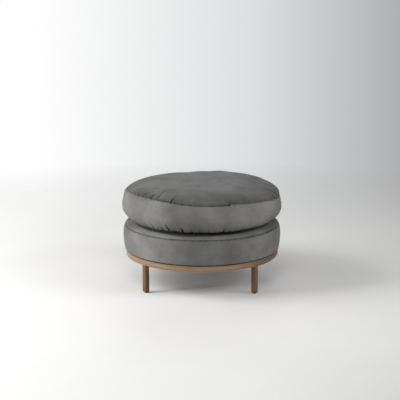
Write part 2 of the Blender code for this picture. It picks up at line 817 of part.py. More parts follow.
def cushion_cover(parent):
    """Top, bottom and border of the cushion. The zip parts the border across the back."""
    top, border, bottom = cushion_top_line(), cushion_border_line(), cushion_bottom_line()
    upper_hem, lower_hem = turned_in(border[1], border[0]), turned_in(border[-2], border[-1])
    above_zip = clipped(border, 1, CUSHION_WIDEST_HEIGHT + ZIP_OPENING / 2, UPPER_SEAM_HEIGHT)
    below_zip = clipped(border, 1, LOWER_SEAM_HEIGHT, CUSHION_WIDEST_HEIGHT - ZIP_OPENING / 2)
    top_cloth = cloth_outline(top + [turned_in(top[-2], top[-1])])
    bottom_cloth = cloth_outline([turned_in(bottom[1], bottom[0])] + bottom)
    front_cloth = cloth_outline([upper_hem] + border + [lower_hem])
    front_steps = ROUND_STEPS - ZIP_STEPS
    cushion_piece("cushion_top_panel", top_cloth, VELVET, parent)
    cushion_piece("cushion_bottom_panel", bottom_cloth, VELVET, parent)
    cushion_piece("cushion_border_front", front_cloth, VELVET, parent, front_steps, ZIP_START + ZIP_SWEEP)
    above_cloth = cloth_outline([upper_hem] + above_zip)
    below_cloth = cloth_outline(below_zip + [lower_hem])
    cushion_piece("cushion_border_above_zip", above_cloth, VELVET, parent, ZIP_STEPS, ZIP_START)
    cushion_piece("cushion_border_below_zip", below_cloth, VELVET, parent, ZIP_STEPS, ZIP_START)


def cushion_pad(parent):
    """The filled inner pad, which steps in where the cover's seams are turned in."""
    top, border, bottom = cushion_top_line(), cushion_border_line(), cushion_bottom_line()
    upper_groove, lower_groove = seam_groove(top, border), seam_groove(border, bottom)
    under, over = UPPER_SEAM_HEIGHT - SEAM_LIP, LOWER_SEAM_HEIGHT + SEAM_LIP
    outline = clipped(offset(top, CLOTH + PAD_EASE), 0, 0.0, upper_groove)
    outline.append((upper_groove, under))
    outline += clipped(offset(border, PAD_INSET), 1, over, under)
    outline.append((lower_groove, over))
    outline += clipped(offset(bottom, CLOTH + PAD_EASE), 0, 0.0, lower_groove)
    cushion_piece("cushion_pad", outline, white_cambric(), parent)


# Zip


def zip_tape(name, side, parent, material):
    """Half of the zip: a tape with a row of teeth on its edge. Side is 1 above and -1 below."""
    edge = CUSHION_WIDEST_HEIGHT + side * ZIP_SLOT / 2
    teeth = edge + side * TEETH_HEIGHT
    far = CUSHION_WIDEST_HEIGHT + side * (ZIP_OPENING / 2 + TAPE_COVERED)
    behind_border = offset(cushion_border_line(), CLOTH + GAP)[::-side]
    tape = clipped(behind_border, 1, min(teeth, far), max(teeth, far))[::-1]
    outer = tape + [(TEETH_RADIUS, teeth), (TEETH_RADIUS, edge)]
    back = [(TAPE_RADIUS - TAPE_THICKNESS, edge)]
    back += [(r - TAPE_THICKNESS, z) for r, z in tape[::-1] if abs(z - teeth) > GAP]
    cushion_piece(name, outer + back, material, parent, ZIP_STEPS, ZIP_START)


def slider_box(name, radii, length, height, parent):
    """A box of the slider between two radii, centred on the zip."""
    low = (radii[0], -length / 2, -height / 2)
    high = (radii[1], length / 2, height / 2)
    return new_cutter(name, box_mesh(name, low, high), parent=parent)


def zip_slider(carriage, material):
    """A plate before the teeth and one behind them, a neck in the slot, and a bridge for the pull."""
    front = (TEETH_RADIUS + GAP, FRONT_PLATE_RADIUS)
    back = (BACK_PLATE_RADIUS - SLIDER_PLATE, BACK_PLATE_RADIUS)
    neck = (BACK_PLATE_RADIUS - SLIDER_PLATE / 2, FRONT_PLATE_RADIUS - SLIDER_PLATE / 2)
    bridge = (FRONT_PLATE_RADIUS - SLIDER_PLATE / 2, FRONT_PLATE_RADIUS + PULL_SPACE + BRIDGE_BAR)
    under_bridge = (FRONT_PLATE_RADIUS, FRONT_PLATE_RADIUS + PULL_SPACE)
    half_length, half_height = SLIDER_LENGTH / 2, SLIDER_HEIGHT / 2
    low, high = (front[0], -half_length, -half_height), (front[1], half_length, half_height)
    part = new_part("zip_slider", box_mesh("zip_slider", low, high), material, carriage)
    neck_height = ZIP_SLOT - 2 * GAP
    inside_bridge = BRIDGE_LENGTH - 2 * BRIDGE_BAR
    eye = slider_box("slider_eye", under_bridge, inside_bridge, SLIDER_HEIGHT, carriage)
    boolean(part, slider_box("slider_back", back, SLIDER_LENGTH, SLIDER_HEIGHT, carriage), "UNION")
    boolean(part, slider_box("slider_neck", neck, NECK_LENGTH, neck_height, carriage), "UNION")
    boolean(part, slider_box("slider_bridge", bridge, BRIDGE_LENGTH, BRIDGE_WIDTH, carriage), "UNION")
    boolean(part, eye, "DIFFERENCE")


def zip_pull(carriage, material):
    """A flat tab that lies along the zip. Its crossbar, on its origin, turns under the bridge."""
    half_width, half_thickness = PULL_WIDTH / 2, PULL_THICKNESS / 2
    low = (-half_thickness, -PULL_CROSSBAR / 2, -half_width)
    high = (half_thickness, PULL_LENGTH, half_width)
    part = new_part("zip_pull", box_mesh("zip_pull", low, high), material, carriage)
    part.location.x = PULL_AXIS_RADIUS
    work = bmesh.new()
    work.from_mesh(part.data)
    free_end = [e for e in work.edges if min(v.co.y for v in e.verts) > 0]
    corners = [e for e in free_end if e.verts[0].co.z == e.verts[1].co.z]
    chamfer(work, corners, PULL_CORNER, 2)
    work.to_mesh(part.data)
    work.free()
    bridge_reach = math.hypot(BRIDGE_LENGTH / 2, PULL_SPACE / 2 + BRIDGE_BAR) + PULL_PLAY
    eye_half_height = BRIDGE_WIDTH / 2 + PULL_PLAY
    eye_low = (-PULL_THICKNESS, PULL_CROSSBAR / 2, -eye_half_height)
    eye_high = (PULL_THICKNESS, bridge_reach, eye_half_height)
    eye = new_cutter("pull_eye", box_mesh("pull_eye", eye_low, eye_high), part.location, carriage)
    boolean(part, eye, "DIFFERENCE")


def cushion():
    """The loose cushion, which lifts off, with a slider that runs round it along the zip."""
    cushion_axis = new_empty("cushion_axis", CUSHION_Z)
    cushion_cover(cushion_axis)
    cushion_pad(cushion_axis)
    tape_nylon = zip_nylon()
    zip_tape("zip_tape_upper", 1, cushion_axis, tape_nylon)
    zip_tape("zip_tape_lower", -1, cushion_axis, tape_nylon)
    slider_axis = new_empty("slider_axis", CUSHION_WIDEST_HEIGHT, SLIDER_REST, cushion_axis)
    nickel = zip_metal()
    zip_slider(slider_axis, nickel)
    zip_pull(slider_axis, nickel)


def stool_base():
    bores = screw_bores()
    legs_and_glides()
    plinth_ring(bores)
    plinth_screws()
    dust_cover(bores)
    frame_rings(bores)
    frame_posts()
    frame_band()
    webbing()
    seat_foam()
    side_wadding()
    base_cover()


stool_base()
cushion()
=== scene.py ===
import math

import bpy
import numpy as np
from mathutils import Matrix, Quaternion, Vector


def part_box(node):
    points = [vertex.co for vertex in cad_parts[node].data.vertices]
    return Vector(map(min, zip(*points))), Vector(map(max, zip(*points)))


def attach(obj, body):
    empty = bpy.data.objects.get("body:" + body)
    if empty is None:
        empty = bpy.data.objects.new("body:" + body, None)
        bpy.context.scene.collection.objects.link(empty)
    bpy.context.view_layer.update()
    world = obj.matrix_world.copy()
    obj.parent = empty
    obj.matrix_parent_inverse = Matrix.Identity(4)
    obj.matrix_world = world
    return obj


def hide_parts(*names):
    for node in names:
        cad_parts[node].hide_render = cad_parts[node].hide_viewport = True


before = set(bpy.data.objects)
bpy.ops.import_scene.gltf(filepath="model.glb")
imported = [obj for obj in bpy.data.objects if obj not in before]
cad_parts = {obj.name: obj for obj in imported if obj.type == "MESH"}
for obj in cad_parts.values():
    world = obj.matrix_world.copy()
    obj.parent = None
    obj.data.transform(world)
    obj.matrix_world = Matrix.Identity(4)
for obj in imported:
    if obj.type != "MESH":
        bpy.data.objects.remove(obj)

# Units, and the scene brought up to date before anything is dressed
MM = 0.001
FULL_TURN = 2 * math.pi
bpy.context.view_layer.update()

# Camera, fitted to the stool's circles
CAMERA_AZIMUTH = math.radians(-87.9)
CAMERA_DISTANCE = 4.297
CAMERA_HEIGHT = 1.297
CAMERA_SIDESTEP = -0.0088
CAMERA_PITCH = math.radians(12.16)
CAMERA_ROLL = math.radians(-0.10)
CAMERA_FOCAL_PIXELS = 950.0
PICTURE_PIXELS = 400
SENSOR_WIDTH_MM = 36.0

# Soft lamps: name, place, size across in metres and power in watts
LAMPS = (
    ("window_low", (-3.6, -1.5, 1.1), 1, 66), ("window_high", (-3, -0.6, 2.4), 2, 86),
    ("window_back", (-3.6, 1, 1.5), 2.2, 41), ("front_high", (0, -3, 3), 2, 40),
    ("right_high", (3.6, -1.2, 2.2), 2, 71), ("right_low", (3.4, -2.4, 1.1), 2, 18),
    ("back_high", (0.8, 3, 3), 2.4, 17))
LAMP_TARGET = (0, 0, 0.3)
ROOM_LIGHT = 0.04
FLOOR_RADIUS = 3.2
BACKDROP_RADIUS = 20.0
STAGE_COLUMNS = 96

# Columns round the soft pieces and round the timber ring
COLUMNS = 1200
DRUM_COLUMNS = 720
TIMBER_COLUMNS = 288
INNER_COLUMNS = 144

# Sizes read from the solids
CUSHION_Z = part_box("cushion_bottom_panel")[0].z
DRUM_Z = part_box("base_cover_side")[0].z
DRUM_TOP_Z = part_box("base_cover_top")[1].z
RING_LOW, RING_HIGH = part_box("plinth_ring")

# Cushion: the outer line of its cover, heights above its underside, and the slow wave of its crown
CUSHION_RADIUS = 365.5 * MM
TOP_SEAM_RADIUS = 351.5 * MM
TOP_SEAM_HEIGHT = 138 * MM
CUSHION_CROWN = 34 * MM
CUSHION_CROWN_POWER = 9
CUSHION_WIDEST = 78 * MM
CUSHION_STRAIGHT = 12 * MM
UPPER_BULGE_POWER = 1.3
LOWER_BULGE_POWER = 2.15
UNDER_SEAM_RADIUS = 324 * MM
UNDER_SEAM_HEIGHT = 12 * MM
UNDERSIDE_ROLL = 92 * MM
UNDERSIDE_POWER = 2.2
CROWN_WAVE = 2.5 * MM
CROWN_WAVE_TURN = 0.8
HUB_RADIUS = 1.5 * MM

# Drum: the outer line of its cover, with the join in its side as a depth and a width
DRUM_RADIUS = 363 * MM
DRUM_SEAM_RADIUS = 355 * MM
DRUM_SEAM_DROP = 14 * MM
DRUM_WIDEST_Z = DRUM_Z + 68 * MM
DRUM_BULGE_POWER = 3
DRUM_FOOT_RADIUS = 357 * MM
DRUM_FOOT_POWER = 2
DRUM_FOOT_BEND = 4 * MM
DRUM_HEM_RADIUS = 318 * MM
SHOULDER_WIDTH = 70 * MM
SHOULDER_POWER = 1.9
DRUM_JOIN_AT = 90
DRUM_JOIN_DIP = (1.4 * MM, 2 * MM)

# The upper seam's path up the cover as degrees and millimetres, and how far it draws the cloth with it
SEAM_PATH = (
    (0, -17), (20, -9), (45, -3), (75, 0), (110, 0), (150, 2), (180, 10), (205, 18), (221, 19), (240, 15),
    (252, 6), (262, 0), (285, -2.5), (303, -2), (323, -8), (337, -16), (350, -20))
SEAM_PATH_EASE = 5.0
SEAM_PULL_TOP = 120 * MM
SEAM_PULL_BORDER = 48 * MM

# A tuck in that seam, in degrees, and the waves and depths of its ripples
SEAM_KINK = 8 * MM
SEAM_KINK_AT = 293.5
SEAM_KINK_RISE = 1.4
SEAM_KINK_FALL = 5.0
SEAM_RIPPLES = (19, 31, 47, 71, 97, 131)
SEAM_RAGGED = (0.5 * MM, ((232, 18, 0.9 * MM), (345, 10, 0.6 * MM)))
DRUM_RIPPLE = 0.4 * MM
DRUM_RIPPLE_REACH = 12 * MM

# Depth and width of the dip along each seam
UPPER_SEAM_DIP = (3.2 * MM, 2.4 * MM)
UNDER_SEAM_DIP = (3.0 * MM, 2.4 * MM)
DRUM_SEAM_DIP = (2.4 * MM, 1.8 * MM)

# Soft random swellings: their sizes in metres and how far they rise
CUSHION_SWELLS = ((0.4, 0.2, 0.1), 1.6 * MM)
DRUM_SWELLS = ((0.5, 0.25), 0.8 * MM)

# Soft lumps on top as x, y and spread in metres with the rise in millimetres
TOP_LUMPS = (
    (0, 0, 0.33, 5), (0.13, 0.18, 0.15, 8), (-0.22, 0.05, 0.12, 2.5), (-0.08, -0.12, 0.07, 2.5),
    (0.05, -0.04, 0.06, -2), (0.19, -0.08, 0.08, 2), (-0.02, 0.14, 0.06, -1.5), (-0.2, -0.13, 0.07, -1.5))

# Where the sides stand out fuller: degrees, spread and how far, then the middle and spread along the line
FULL_SIDES = (
    (190, 30, 6.5 * MM), (345, 25, 3.8 * MM), (48, 17, 7.5 * MM), (105, 14, 2.5 * MM), (146, 7, 1.5 * MM))
FULL_SIDES_AT = (-22 * MM, 34 * MM)
FULL_BELOW = ((352, 25, 1.5 * MM), (190, 25, 1.0 * MM))
FULL_BELOW_AT = (-38 * MM, 20 * MM)

# Folds along each seam: how far they reach, how full they are everywhere, then near (degrees, spread, gain)
TOP_FOLDS = (60 * MM, 0.25, ((226, 20, 1.3), (348, 12, 1.1), (95, 30, 0.7), (150, 15, 0.5), (35, 15, 0.4)))
UPPER_FOLDS = (14 * MM, 0.2, ((295, 5, 1.2), (225, 20, 0.6), (80, 40, 0.4)))
LOWER_FOLDS = (24 * MM, 0.5, ((242, 22, 2.2), (292, 6, 0.9), (0, 30, 0.8), (120, 30, 1)))
UNDERSIDE_FOLDS = (45 * MM, 1, ())

# Single creases from a seam: degrees round, sideways lean, then length, width and depth in millimetres
TOP_CREASES = (
    (215, 0.2, 40, 3, 2.5), (220.5, 0.25, 120, 3.2, 6.5), (225.5, 0.2, 36, 3, 2.5), (231, -0.3, 30, 2.6, 1.6),
    (236, 0.2, 20, 2.4, 1.2), (240, 0.3, 20, 2.4, 1.2), (244.5, -0.2, 30, 3, 2.5), (249, 0.15, 115, 3.4, 4.6),
    (253, -0.3, 44, 3.5, 2.6), (258, 0.2, 30, 3.5, 2.2), (264, 0.1, 22, 3, 1.6), (283, 0.1, 20, 2.6, 2.4),
    (287.5, -0.1, 15, 2.4, 2.2), (291.5, 0.5, 30, 3, 4.2), (334, -0.9, 55, 3.5, 3.5), (338, -0.7, 70, 4, 5),
    (344, -0.4, 80, 4, 6), (350, 0.2, 60, 4, 5))
UPPER_CREASES = (
    (290, 0, 20, 3, 1.6), (295, 0.1, 34, 3, 2.6), (299, -0.1, 22, 3, 1.8), (307, 0, 12, 2.5, 1.6),
    (262, 0, 16, 2.5, 1.2))
LOWER_CREASES = (
    (228, 0.1, 30, 2.6, 2.4), (233, -0.1, 24, 2.6, 2.2), (237, 0.1, 34, 3, 2.8), (241.5, 0, 26, 2.6, 2.4),
    (245, 0.2, 38, 3, 2.8), (249.5, -0.2, 30, 2.6, 2.6), (253, 0.1, 34, 3, 2.6), (258, 0, 40, 3, 2.8),
    (263, -0.1, 28, 3, 2), (293, 0.1, 26, 3, 2.6))

# How fast a crease fades and widens along its run, and how high its rims stand
CREASE_TAPER = 1.5
CREASE_WIDENING = 1.2
CREASE_RIM = 0.45

# Small puckers along a seam: how many, the ranges of their lengths, widths and depths in millimetres, their
# lean, and how strong they are round the piece
TOP_PUCKERS = (
    300, (4, 20), (1.1, 2.4), (0.4, 4.6), 0.9, (0.12, ((236, 24, 1.3), (345, 12, 0.7), (288, 8, 0.6))))
UPPER_PUCKERS = (
    170, (4, 18), (1.3, 2.4), (0.6, 2.8), 0.3, (0.12, ((231, 20, 0.8), (279, 4, 1), (295, 8, 1.4))))
LOWER_PUCKERS = (270, (8, 40), (1.3, 2.6), (0.2, 5), 0.4, (0.35, ((243, 22, 1.5), (290, 8, 0.3))))
DRUM_PUCKERS = (60, (8, 26), (3, 7), (0.2, 1), 0.3, (1, ()))

# How dark the painted shade in the creases is, with the depth of the darkest, and the painted shadow on the
# strips that the cushion covers
FOLD_SHADE = 0.75
LOWER_FOLD_SHADE = 0.95
FOLD_SHADE_DEPTH = 4.2 * MM
FOLD_SHADE_POWER = 1.3
UNDERSIDE_SHADE = 0.85
DECK_SHADE = 0.6
DECK_INNER = 265 * MM
DECK_EDGE = (UNDER_SEAM_RADIUS - 6 * MM, ((264, 30, 13 * MM),))

# How dark and wide the painted shade in the seams is, with small spots of it along the upper one
SEAM_SHADE = (0.45, ((273, 20, 0.55), (232, 14, 0.1), (291.5, 1.5, 1.0)))
SEAM_SHADE_WIDTH = 2.2 * MM
SEAM_SPOTS = (67, 103, 139, 173)
SEAM_SPOT_SHADE = (0.08, ((235, 18, 0.3),))
DRUM_SEAM_SHADE = 0.9
DRUM_SEAM_WIDTH = (2.4 * MM, ((315, 25, 1.2 * MM),))

# Tone of the cushion's top and border, partly how the pile lies and partly painted light, with painted shade
# at the top's edge and low on the border, a patch of painted light low at the front left, and painted light
# on the drum's top
TOP_TONE = 0.91
TOP_EDGE_PAINTED_SHADE = 0.27
BORDER_TONE = 1.12
LOW_BORDER_PAINTED_SHADE = 0.2
LOW_BORDER_PAINTED_LIGHT = ((238, 25, 0.34),)
LOW_BORDER_FROM = 50 * MM
DRUM_TOP_PAINTED_LIGHT = (1.0, ((240, 28, 0.34), (308, 22, 0.06)))

# Painted light and shade round the stool on the velvet and on the timber ring, as degrees and shares
PAINTED_LIGHT_EASE = 8.0
TOP_PAINTED_LIGHT = ((0, 1.1), (90, 0.86), (200, 1.0), (240, 1.0), (272, 0.87), (300, 0.97), (330, 1.1))
BORDER_PAINTED_LIGHT = ((0, 1.1), (90, 1.0), (170, 0.9), (200, 0.81), (225, 1.02), (265, 0.99), (300, 1.1), (330, 1.25))
DRUM_PAINTED_LIGHT = ((0, 1.05), (90, 1.0), (205, 0.95), (242, 1.19), (272, 0.82), (305, 1.0), (330, 1.14))
RING_PAINTED_LIGHT = ((0, 0.64), (60, 1.1), (180, 1.1), (225, 1.1), (270, 1.18), (300, 1.04), (325, 0.48))

# Zip across the back of the cushion, and the rows of the cover above and below it
ZIP_START = math.radians(15)
ZIP_END = math.radians(165)
ZIP_FLOOR_RADIUS = 360 * MM
ZIP_ROWS = np.array([6, 5.2, 4.7, 4.4, 0.0, -4.4, -4.7, -5.2]) * MM
ZIP_FLOOR_ROWS = np.array([3, 4, 5])

# Zip teeth and stitches
ZIP_END_ROOM = math.radians(1)
TOOTH_STEP = 1.9 * MM
TOOTH_RADIUS = 0.6 * MM
TOOTH_LENGTH = 2.4 * MM
TOOTH_OFFSET = 1.7 * MM
TEETH_FROM_AXIS = 365.3 * MM
STITCH_STEP = 4.2 * MM
STITCH_LENGTH = 3.2 * MM
STITCH_RADIUS = 0.35 * MM
STITCH_OFFSET = 8 * MM
BAR_SIDES = 6

# Cloth simulation of the cushion's cover
SIM_SCALE = 8
SIM_SPACING = 6
SIM_COLUMNS = 400
SIM_FRAMES = 16
SIM_HOLE_RADIUS = 110 * MM
START_RIPPLES = 40
START_DEPTH = 0.1 * MM
CLOTH = {"quality": 5, "mass": 0.02, "time_scale": 1.6, "tension_stiffness": 40, "compression_stiffness": 40,
         "shear_stiffness": 5, "bending_stiffness": 0.2, "tension_damping": 10, "compression_damping": 10,
         "shear_damping": 8, "bending_damping": 1, "vertex_group_mass": "held", "shrink_min": -0.06,
         "use_pressure": True, "uniform_pressure_force": 3}

# Spare cloth beside each seam: the share cut too full and its reach, and where it starts
SPARE_TOP = (0.08, 90 * MM)
SPARE_UPPER = (0.05, 50 * MM)
SPARE_LOWER = (0.08, 60 * MM)
SPARE_UNDER = (0.05, 60 * MM)
SPARE_START = 8 * MM

# Room round the fillings, the lining, the timber ring and the screws' holes
INSERT_ROOM = 14 * MM
FOAM_ROOM = (14 * MM, 5 * MM)
WADDING_ROOM = 4 * MM
LINING_SAG = 1.5 * MM
LINING_THICKNESS = 0.5 * MM
RING_WIDTH = 72 * MM
RING_EDGE = 2 * MM
SCREW_GAP = 0.3 * MM
SCREW_HEAD = 2.8 * MM
SCREW_SIDES = 24

# Eased edges of the legs and of the zip's slider and pull
LEG_EASE = 1.2 * MM
ZIP_EASE = 0.2 * MM
EASE_ANGLE = math.radians(35)


# Line and surface helpers


def smooth(x):
    x = np.clip(x, 0.0, 1.0)
    return x * x * (3 - 2 * x)


def outline(radius, height):
    """A line of (radius, height) points."""
    return np.stack(np.broadcast_arrays(radius, height), axis=1)


def bowed(share, start, end, power):
    """The way from a (radius, height) point to another, bowed in radius by a power."""
    return outline(start[0] + (end[0] - start[0]) * share ** power, start[1] + (end[1] - start[1]) * share)


def summed(steps):
    return np.concatenate([[0.0], np.cumsum(steps)])


def arc_lengths(line):
    return summed(np.hypot(*np.diff(line, axis=0).T))


def line_normals(line):
    """Unit normals of a line of (radius, height) that runs down the outside, pointing out."""
    tangent = np.gradient(line, axis=0)
    tangent /= np.maximum(np.hypot(*tangent.T), 1e-9)[:, None]
    return np.stack([-tangent[:, 1], tangent[:, 0]], axis=1)


def new_piece(name, data):
    piece = bpy.data.objects.new(name, data)
    bpy.context.scene.collection.objects.link(piece)
    return piece


def mesh_piece(name, points, faces):
    mesh = bpy.data.meshes.new(name)
    mesh.from_pydata(points.reshape(-1, 3).tolist(), [], faces)
    mesh.shade_smooth()
    return new_piece(name, mesh)


def turned(name, points, first_pole=None, last_pole=None, closed=False):
    """A piece from points of shape (rings, columns, 3), with UVs in metres round and along it."""
    rings, columns = points.shape[:2]
    coords = points.reshape(-1, 3)
    ring_index = np.arange(rings if closed else rings - 1)
    upper = ring_index[:, None] * columns + np.arange(columns)
    lower = ((ring_index + 1) % rings)[:, None] * columns + np.arange(columns)
    quads = np.stack([upper, lower, np.roll(lower, -1, 1), np.roll(upper, -1, 1)], axis=-1)
    faces = quads.reshape(-1, 4).tolist()
    for pole, ring, flip in ((first_pole, 0, False), (last_pole, rings - 1, True)):
        if pole is not None:
            rim = ring * columns + np.arange(columns)
            others = np.roll(rim, -1)
            hub = np.full(columns, len(coords))
            faces += np.stack([hub, others, rim] if flip else [hub, rim, others], axis=-1).tolist()
            coords = np.append(coords, [pole], axis=0)
    piece = mesh_piece(name, coords, faces)

    around = np.hypot(points[..., 0], points[..., 1]).max() * FULL_TURN / columns
    steps = np.diff(points.mean(1) + points[:, 0], axis=0)
    along = np.append(summed(np.linalg.norm(steps, axis=1)), 0.0)
    along[-1] = along[-2] + 1.0 * MM
    uv = np.zeros((len(piece.data.loops), 2), np.float32)
    quad_uv = uv[:quads.size].reshape(*quads.shape, 2)
    quad_uv[:, :, :2, 0] = (np.arange(columns) * around)[:, None]
    quad_uv[:, :, 2:, 0] = ((np.arange(columns) + 1) * around)[:, None]
    quad_uv[:, :, [0, 3], 1] = along[ring_index][:, None, None]
    quad_uv[:, :, 1:3, 1] = along[ring_index + 1][:, None, None]
    piece.data.uv_layers.new(name="around").data.foreach_set("uv", uv.ravel())
    return piece


def swept(line, angles, push=0.0, slide=0.0):
    """Rings of points of a line swept round the axis, slid along it and pushed out."""
    along = arc_lengths(line)
    places = along[:, None] + np.broadcast_to(slide, (len(line), len(angles)))
    normals = line_normals(line)
    radius = np.interp(places, along, line[:, 0]) + np.interp(places, along, normals[:, 0]) * push
    height = np.interp(places, along, line[:, 1]) + np.interp(places, along, normals[:, 1]) * push
    return np.stack([radius * np.cos(angles), radius * np.sin(angles), height], axis=-1)


def plain_rings(line, angles):
    """Rings of points of a line swept round the axis as it is."""
    radius, height = line[:, :1], np.broadcast_to(line[:, 1:2], (len(line), len(angles)))
    return np.stack([radius * np.cos(angles), radius * np.sin(angles), height], axis=-1)


def column_angles(count):
    return np.arange(count) * FULL_TURN / count


def mark(piece, name, values):
    """A number for every vertex, which the piece's material reads."""
    layer = piece.data.attributes.new(name, "FLOAT", "POINT")
    full = np.zeros(len(piece.data.vertices), np.float32)
    full[:values.size] = values.ravel()
    layer.data.foreach_set("value", full)


# Folds and waves of cloth


def waves(rng, angles, counts, depth):
    """A smooth random line round the piece, from a few counts of waves."""
    total = np.zeros_like(angles)
    for count in counts:
        total += rng.normal() * np.sin(count * angles + rng.uniform(0, FULL_TURN))
    return depth * total / math.sqrt(len(counts))


def turned_from(angles, degrees):
    """Angles measured from a direction, in degrees from -180 to 180."""
    return (np.degrees(angles) - degrees + 180) % 360 - 180


def strength(angles, everywhere, peaks):
    """A value round the piece: one everywhere, and more near each (degrees, spread, gain)."""
    total = np.full_like(angles, everywhere)
    for degrees, spread, gain in peaks:
        total += gain * np.exp(-(turned_from(angles, degrees) / spread) ** 2)
    return total


def eased(angles, stops, blur):
    """A line round the piece through (degrees, value) stops, eased over a few degrees."""
    degrees, values = zip(*stops)
    fine = np.interp(np.degrees(angles), degrees, values, period=360)
    counts = np.fft.rfftfreq(len(angles), 1 / len(angles))
    return np.fft.irfft(np.fft.rfft(fine) * np.exp(-0.5 * (counts * math.radians(blur)) ** 2), len(angles))


def swells(rng, points, sizes, depth):
    """Soft random swellings over a surface, of the given sizes in metres."""
    total = np.zeros(points.shape[:-1])
    for size in sizes:
        for _ in range(5):
            heading = rng.normal(size=3)
            heading *= FULL_TURN / size / np.linalg.norm(heading)
            total += np.sin(points @ heading + rng.uniform(0, FULL_TURN))
    return depth * total / math.sqrt(5 * len(sizes))


def crease(angles, away, radius, place, lean, length, width, depth):
    """One crease that starts at a seam and fades out along its length."""
    turn = (angles - place + math.pi) % FULL_TURN - math.pi
    across = radius * turn - lean * away[:, None]
    run = np.clip(away / length, 0.0, 1.0)[:, None]
    reach = (1 - run) ** CREASE_TAPER * (away >= 0)[:, None]
    x = across / (width * (1 + CREASE_WIDENING * run))
    return -depth * reach * (1 - CREASE_RIM * x * x) * np.exp(-0.5 * x * x)


def puckers(rng, angles, away, radius, count, lengths, widths, depths, lean, fullness):
    """Small random creases all along a seam, stronger where the cloth is fuller."""
    total = np.zeros((len(away), len(angles)))
    rows = np.flatnonzero((away >= 0) & (away <= max(lengths) * MM))
    for place in (np.arange(count) + rng.uniform(-0.45, 0.45, count)) * FULL_TURN / count:
        sideways = rng.normal() * lean
        sizes = [rng.uniform(*limits) * MM for limits in (lengths, widths, depths)]
        total[rows] += crease(angles, away[rows], radius, place, sideways, *sizes)
    return total * strength(angles, *fullness)


def seam_dip(away, depth, width):
    """The dip of a seam: cloth on both sides dives into it."""
    return -depth * np.exp(-np.abs(away) / width)[:, None]


def hump(away, middle, spread):
    """A soft rise to 1 at the middle of a stretch of the line."""
    return np.exp(-((away - middle) / spread) ** 2)[:, None]


# Cushion


def cushion_line():
    """Outer line of the cover in five parts, from its top's middle to its underside's."""
    share = np.concatenate([np.linspace(0.004, 0.6, 40), np.linspace(0.61, 0.85, 30),
                            np.linspace(0.855, 1, 40)])
    top = outline(TOP_SEAM_RADIUS * share,
                  TOP_SEAM_HEIGHT + CUSHION_CROWN * (1 - share ** CUSHION_CROWN_POWER))
    widest = (CUSHION_RADIUS, CUSHION_WIDEST + CUSHION_STRAIGHT / 2)
    seam = (TOP_SEAM_RADIUS, TOP_SEAM_HEIGHT)
    upper = bowed(np.linspace(1, 0, 30), widest, seam, UPPER_BULGE_POWER)
    widest = (CUSHION_RADIUS, CUSHION_WIDEST - CUSHION_STRAIGHT / 2)
    lower = bowed(np.linspace(0, 1, 40), widest, (UNDER_SEAM_RADIUS, UNDER_SEAM_HEIGHT), LOWER_BULGE_POWER)
    share = np.linspace(1, 0, 30)
    inner = UNDER_SEAM_RADIUS - UNDERSIDE_ROLL
    under = outline(inner + UNDERSIDE_ROLL * share, UNDER_SEAM_HEIGHT * share ** UNDERSIDE_POWER)
    floor = outline(np.linspace(inner, HUB_RADIUS, 30)[1:], 0.0)
    return top, upper, lower, under, floor


def stretch(line, *spacings):
    """The line with points at a spacing in millimetres, or at one for its start, middle and end."""
    spacings = np.broadcast_to(np.array(spacings) * MM, 3)
    along = arc_lengths(line)
    stops, at = [0.0], 0.0
    while at < along[-1]:
        at += np.interp(at / along[-1], [0.0, 0.5, 1.0], spacings)
        stops.append(at)
    stops = np.array(stops) * along[-1] / stops[-1]
    return np.stack([np.interp(stops, along, line[:, i]) for i in range(2)], axis=1)


def cover_rows():
    """The cover's outer line with fine rows at its seams and its zip, and the rows of both seams."""
    top, upper, lower, under, floor = cushion_line()
    top = stretch(top, 9, 6, 1.2)
    upper = stretch(upper, 1.2, 2.4, 2.2)
    band = outline(CUSHION_RADIUS, CUSHION_WIDEST + ZIP_ROWS)
    lower = stretch(lower, 2.2, 2.4, 1.2)
    under = stretch(under, 1.2, 3, 6)
    floor = stretch(floor, 8, 12, 12)
    line = np.concatenate([top, upper[1:-1], band, lower, under[1:], floor[1:]])
    first_band = len(top) + len(upper) - 2
    return line, len(top) - 1, first_band, first_band + len(band) + len(lower) - 1


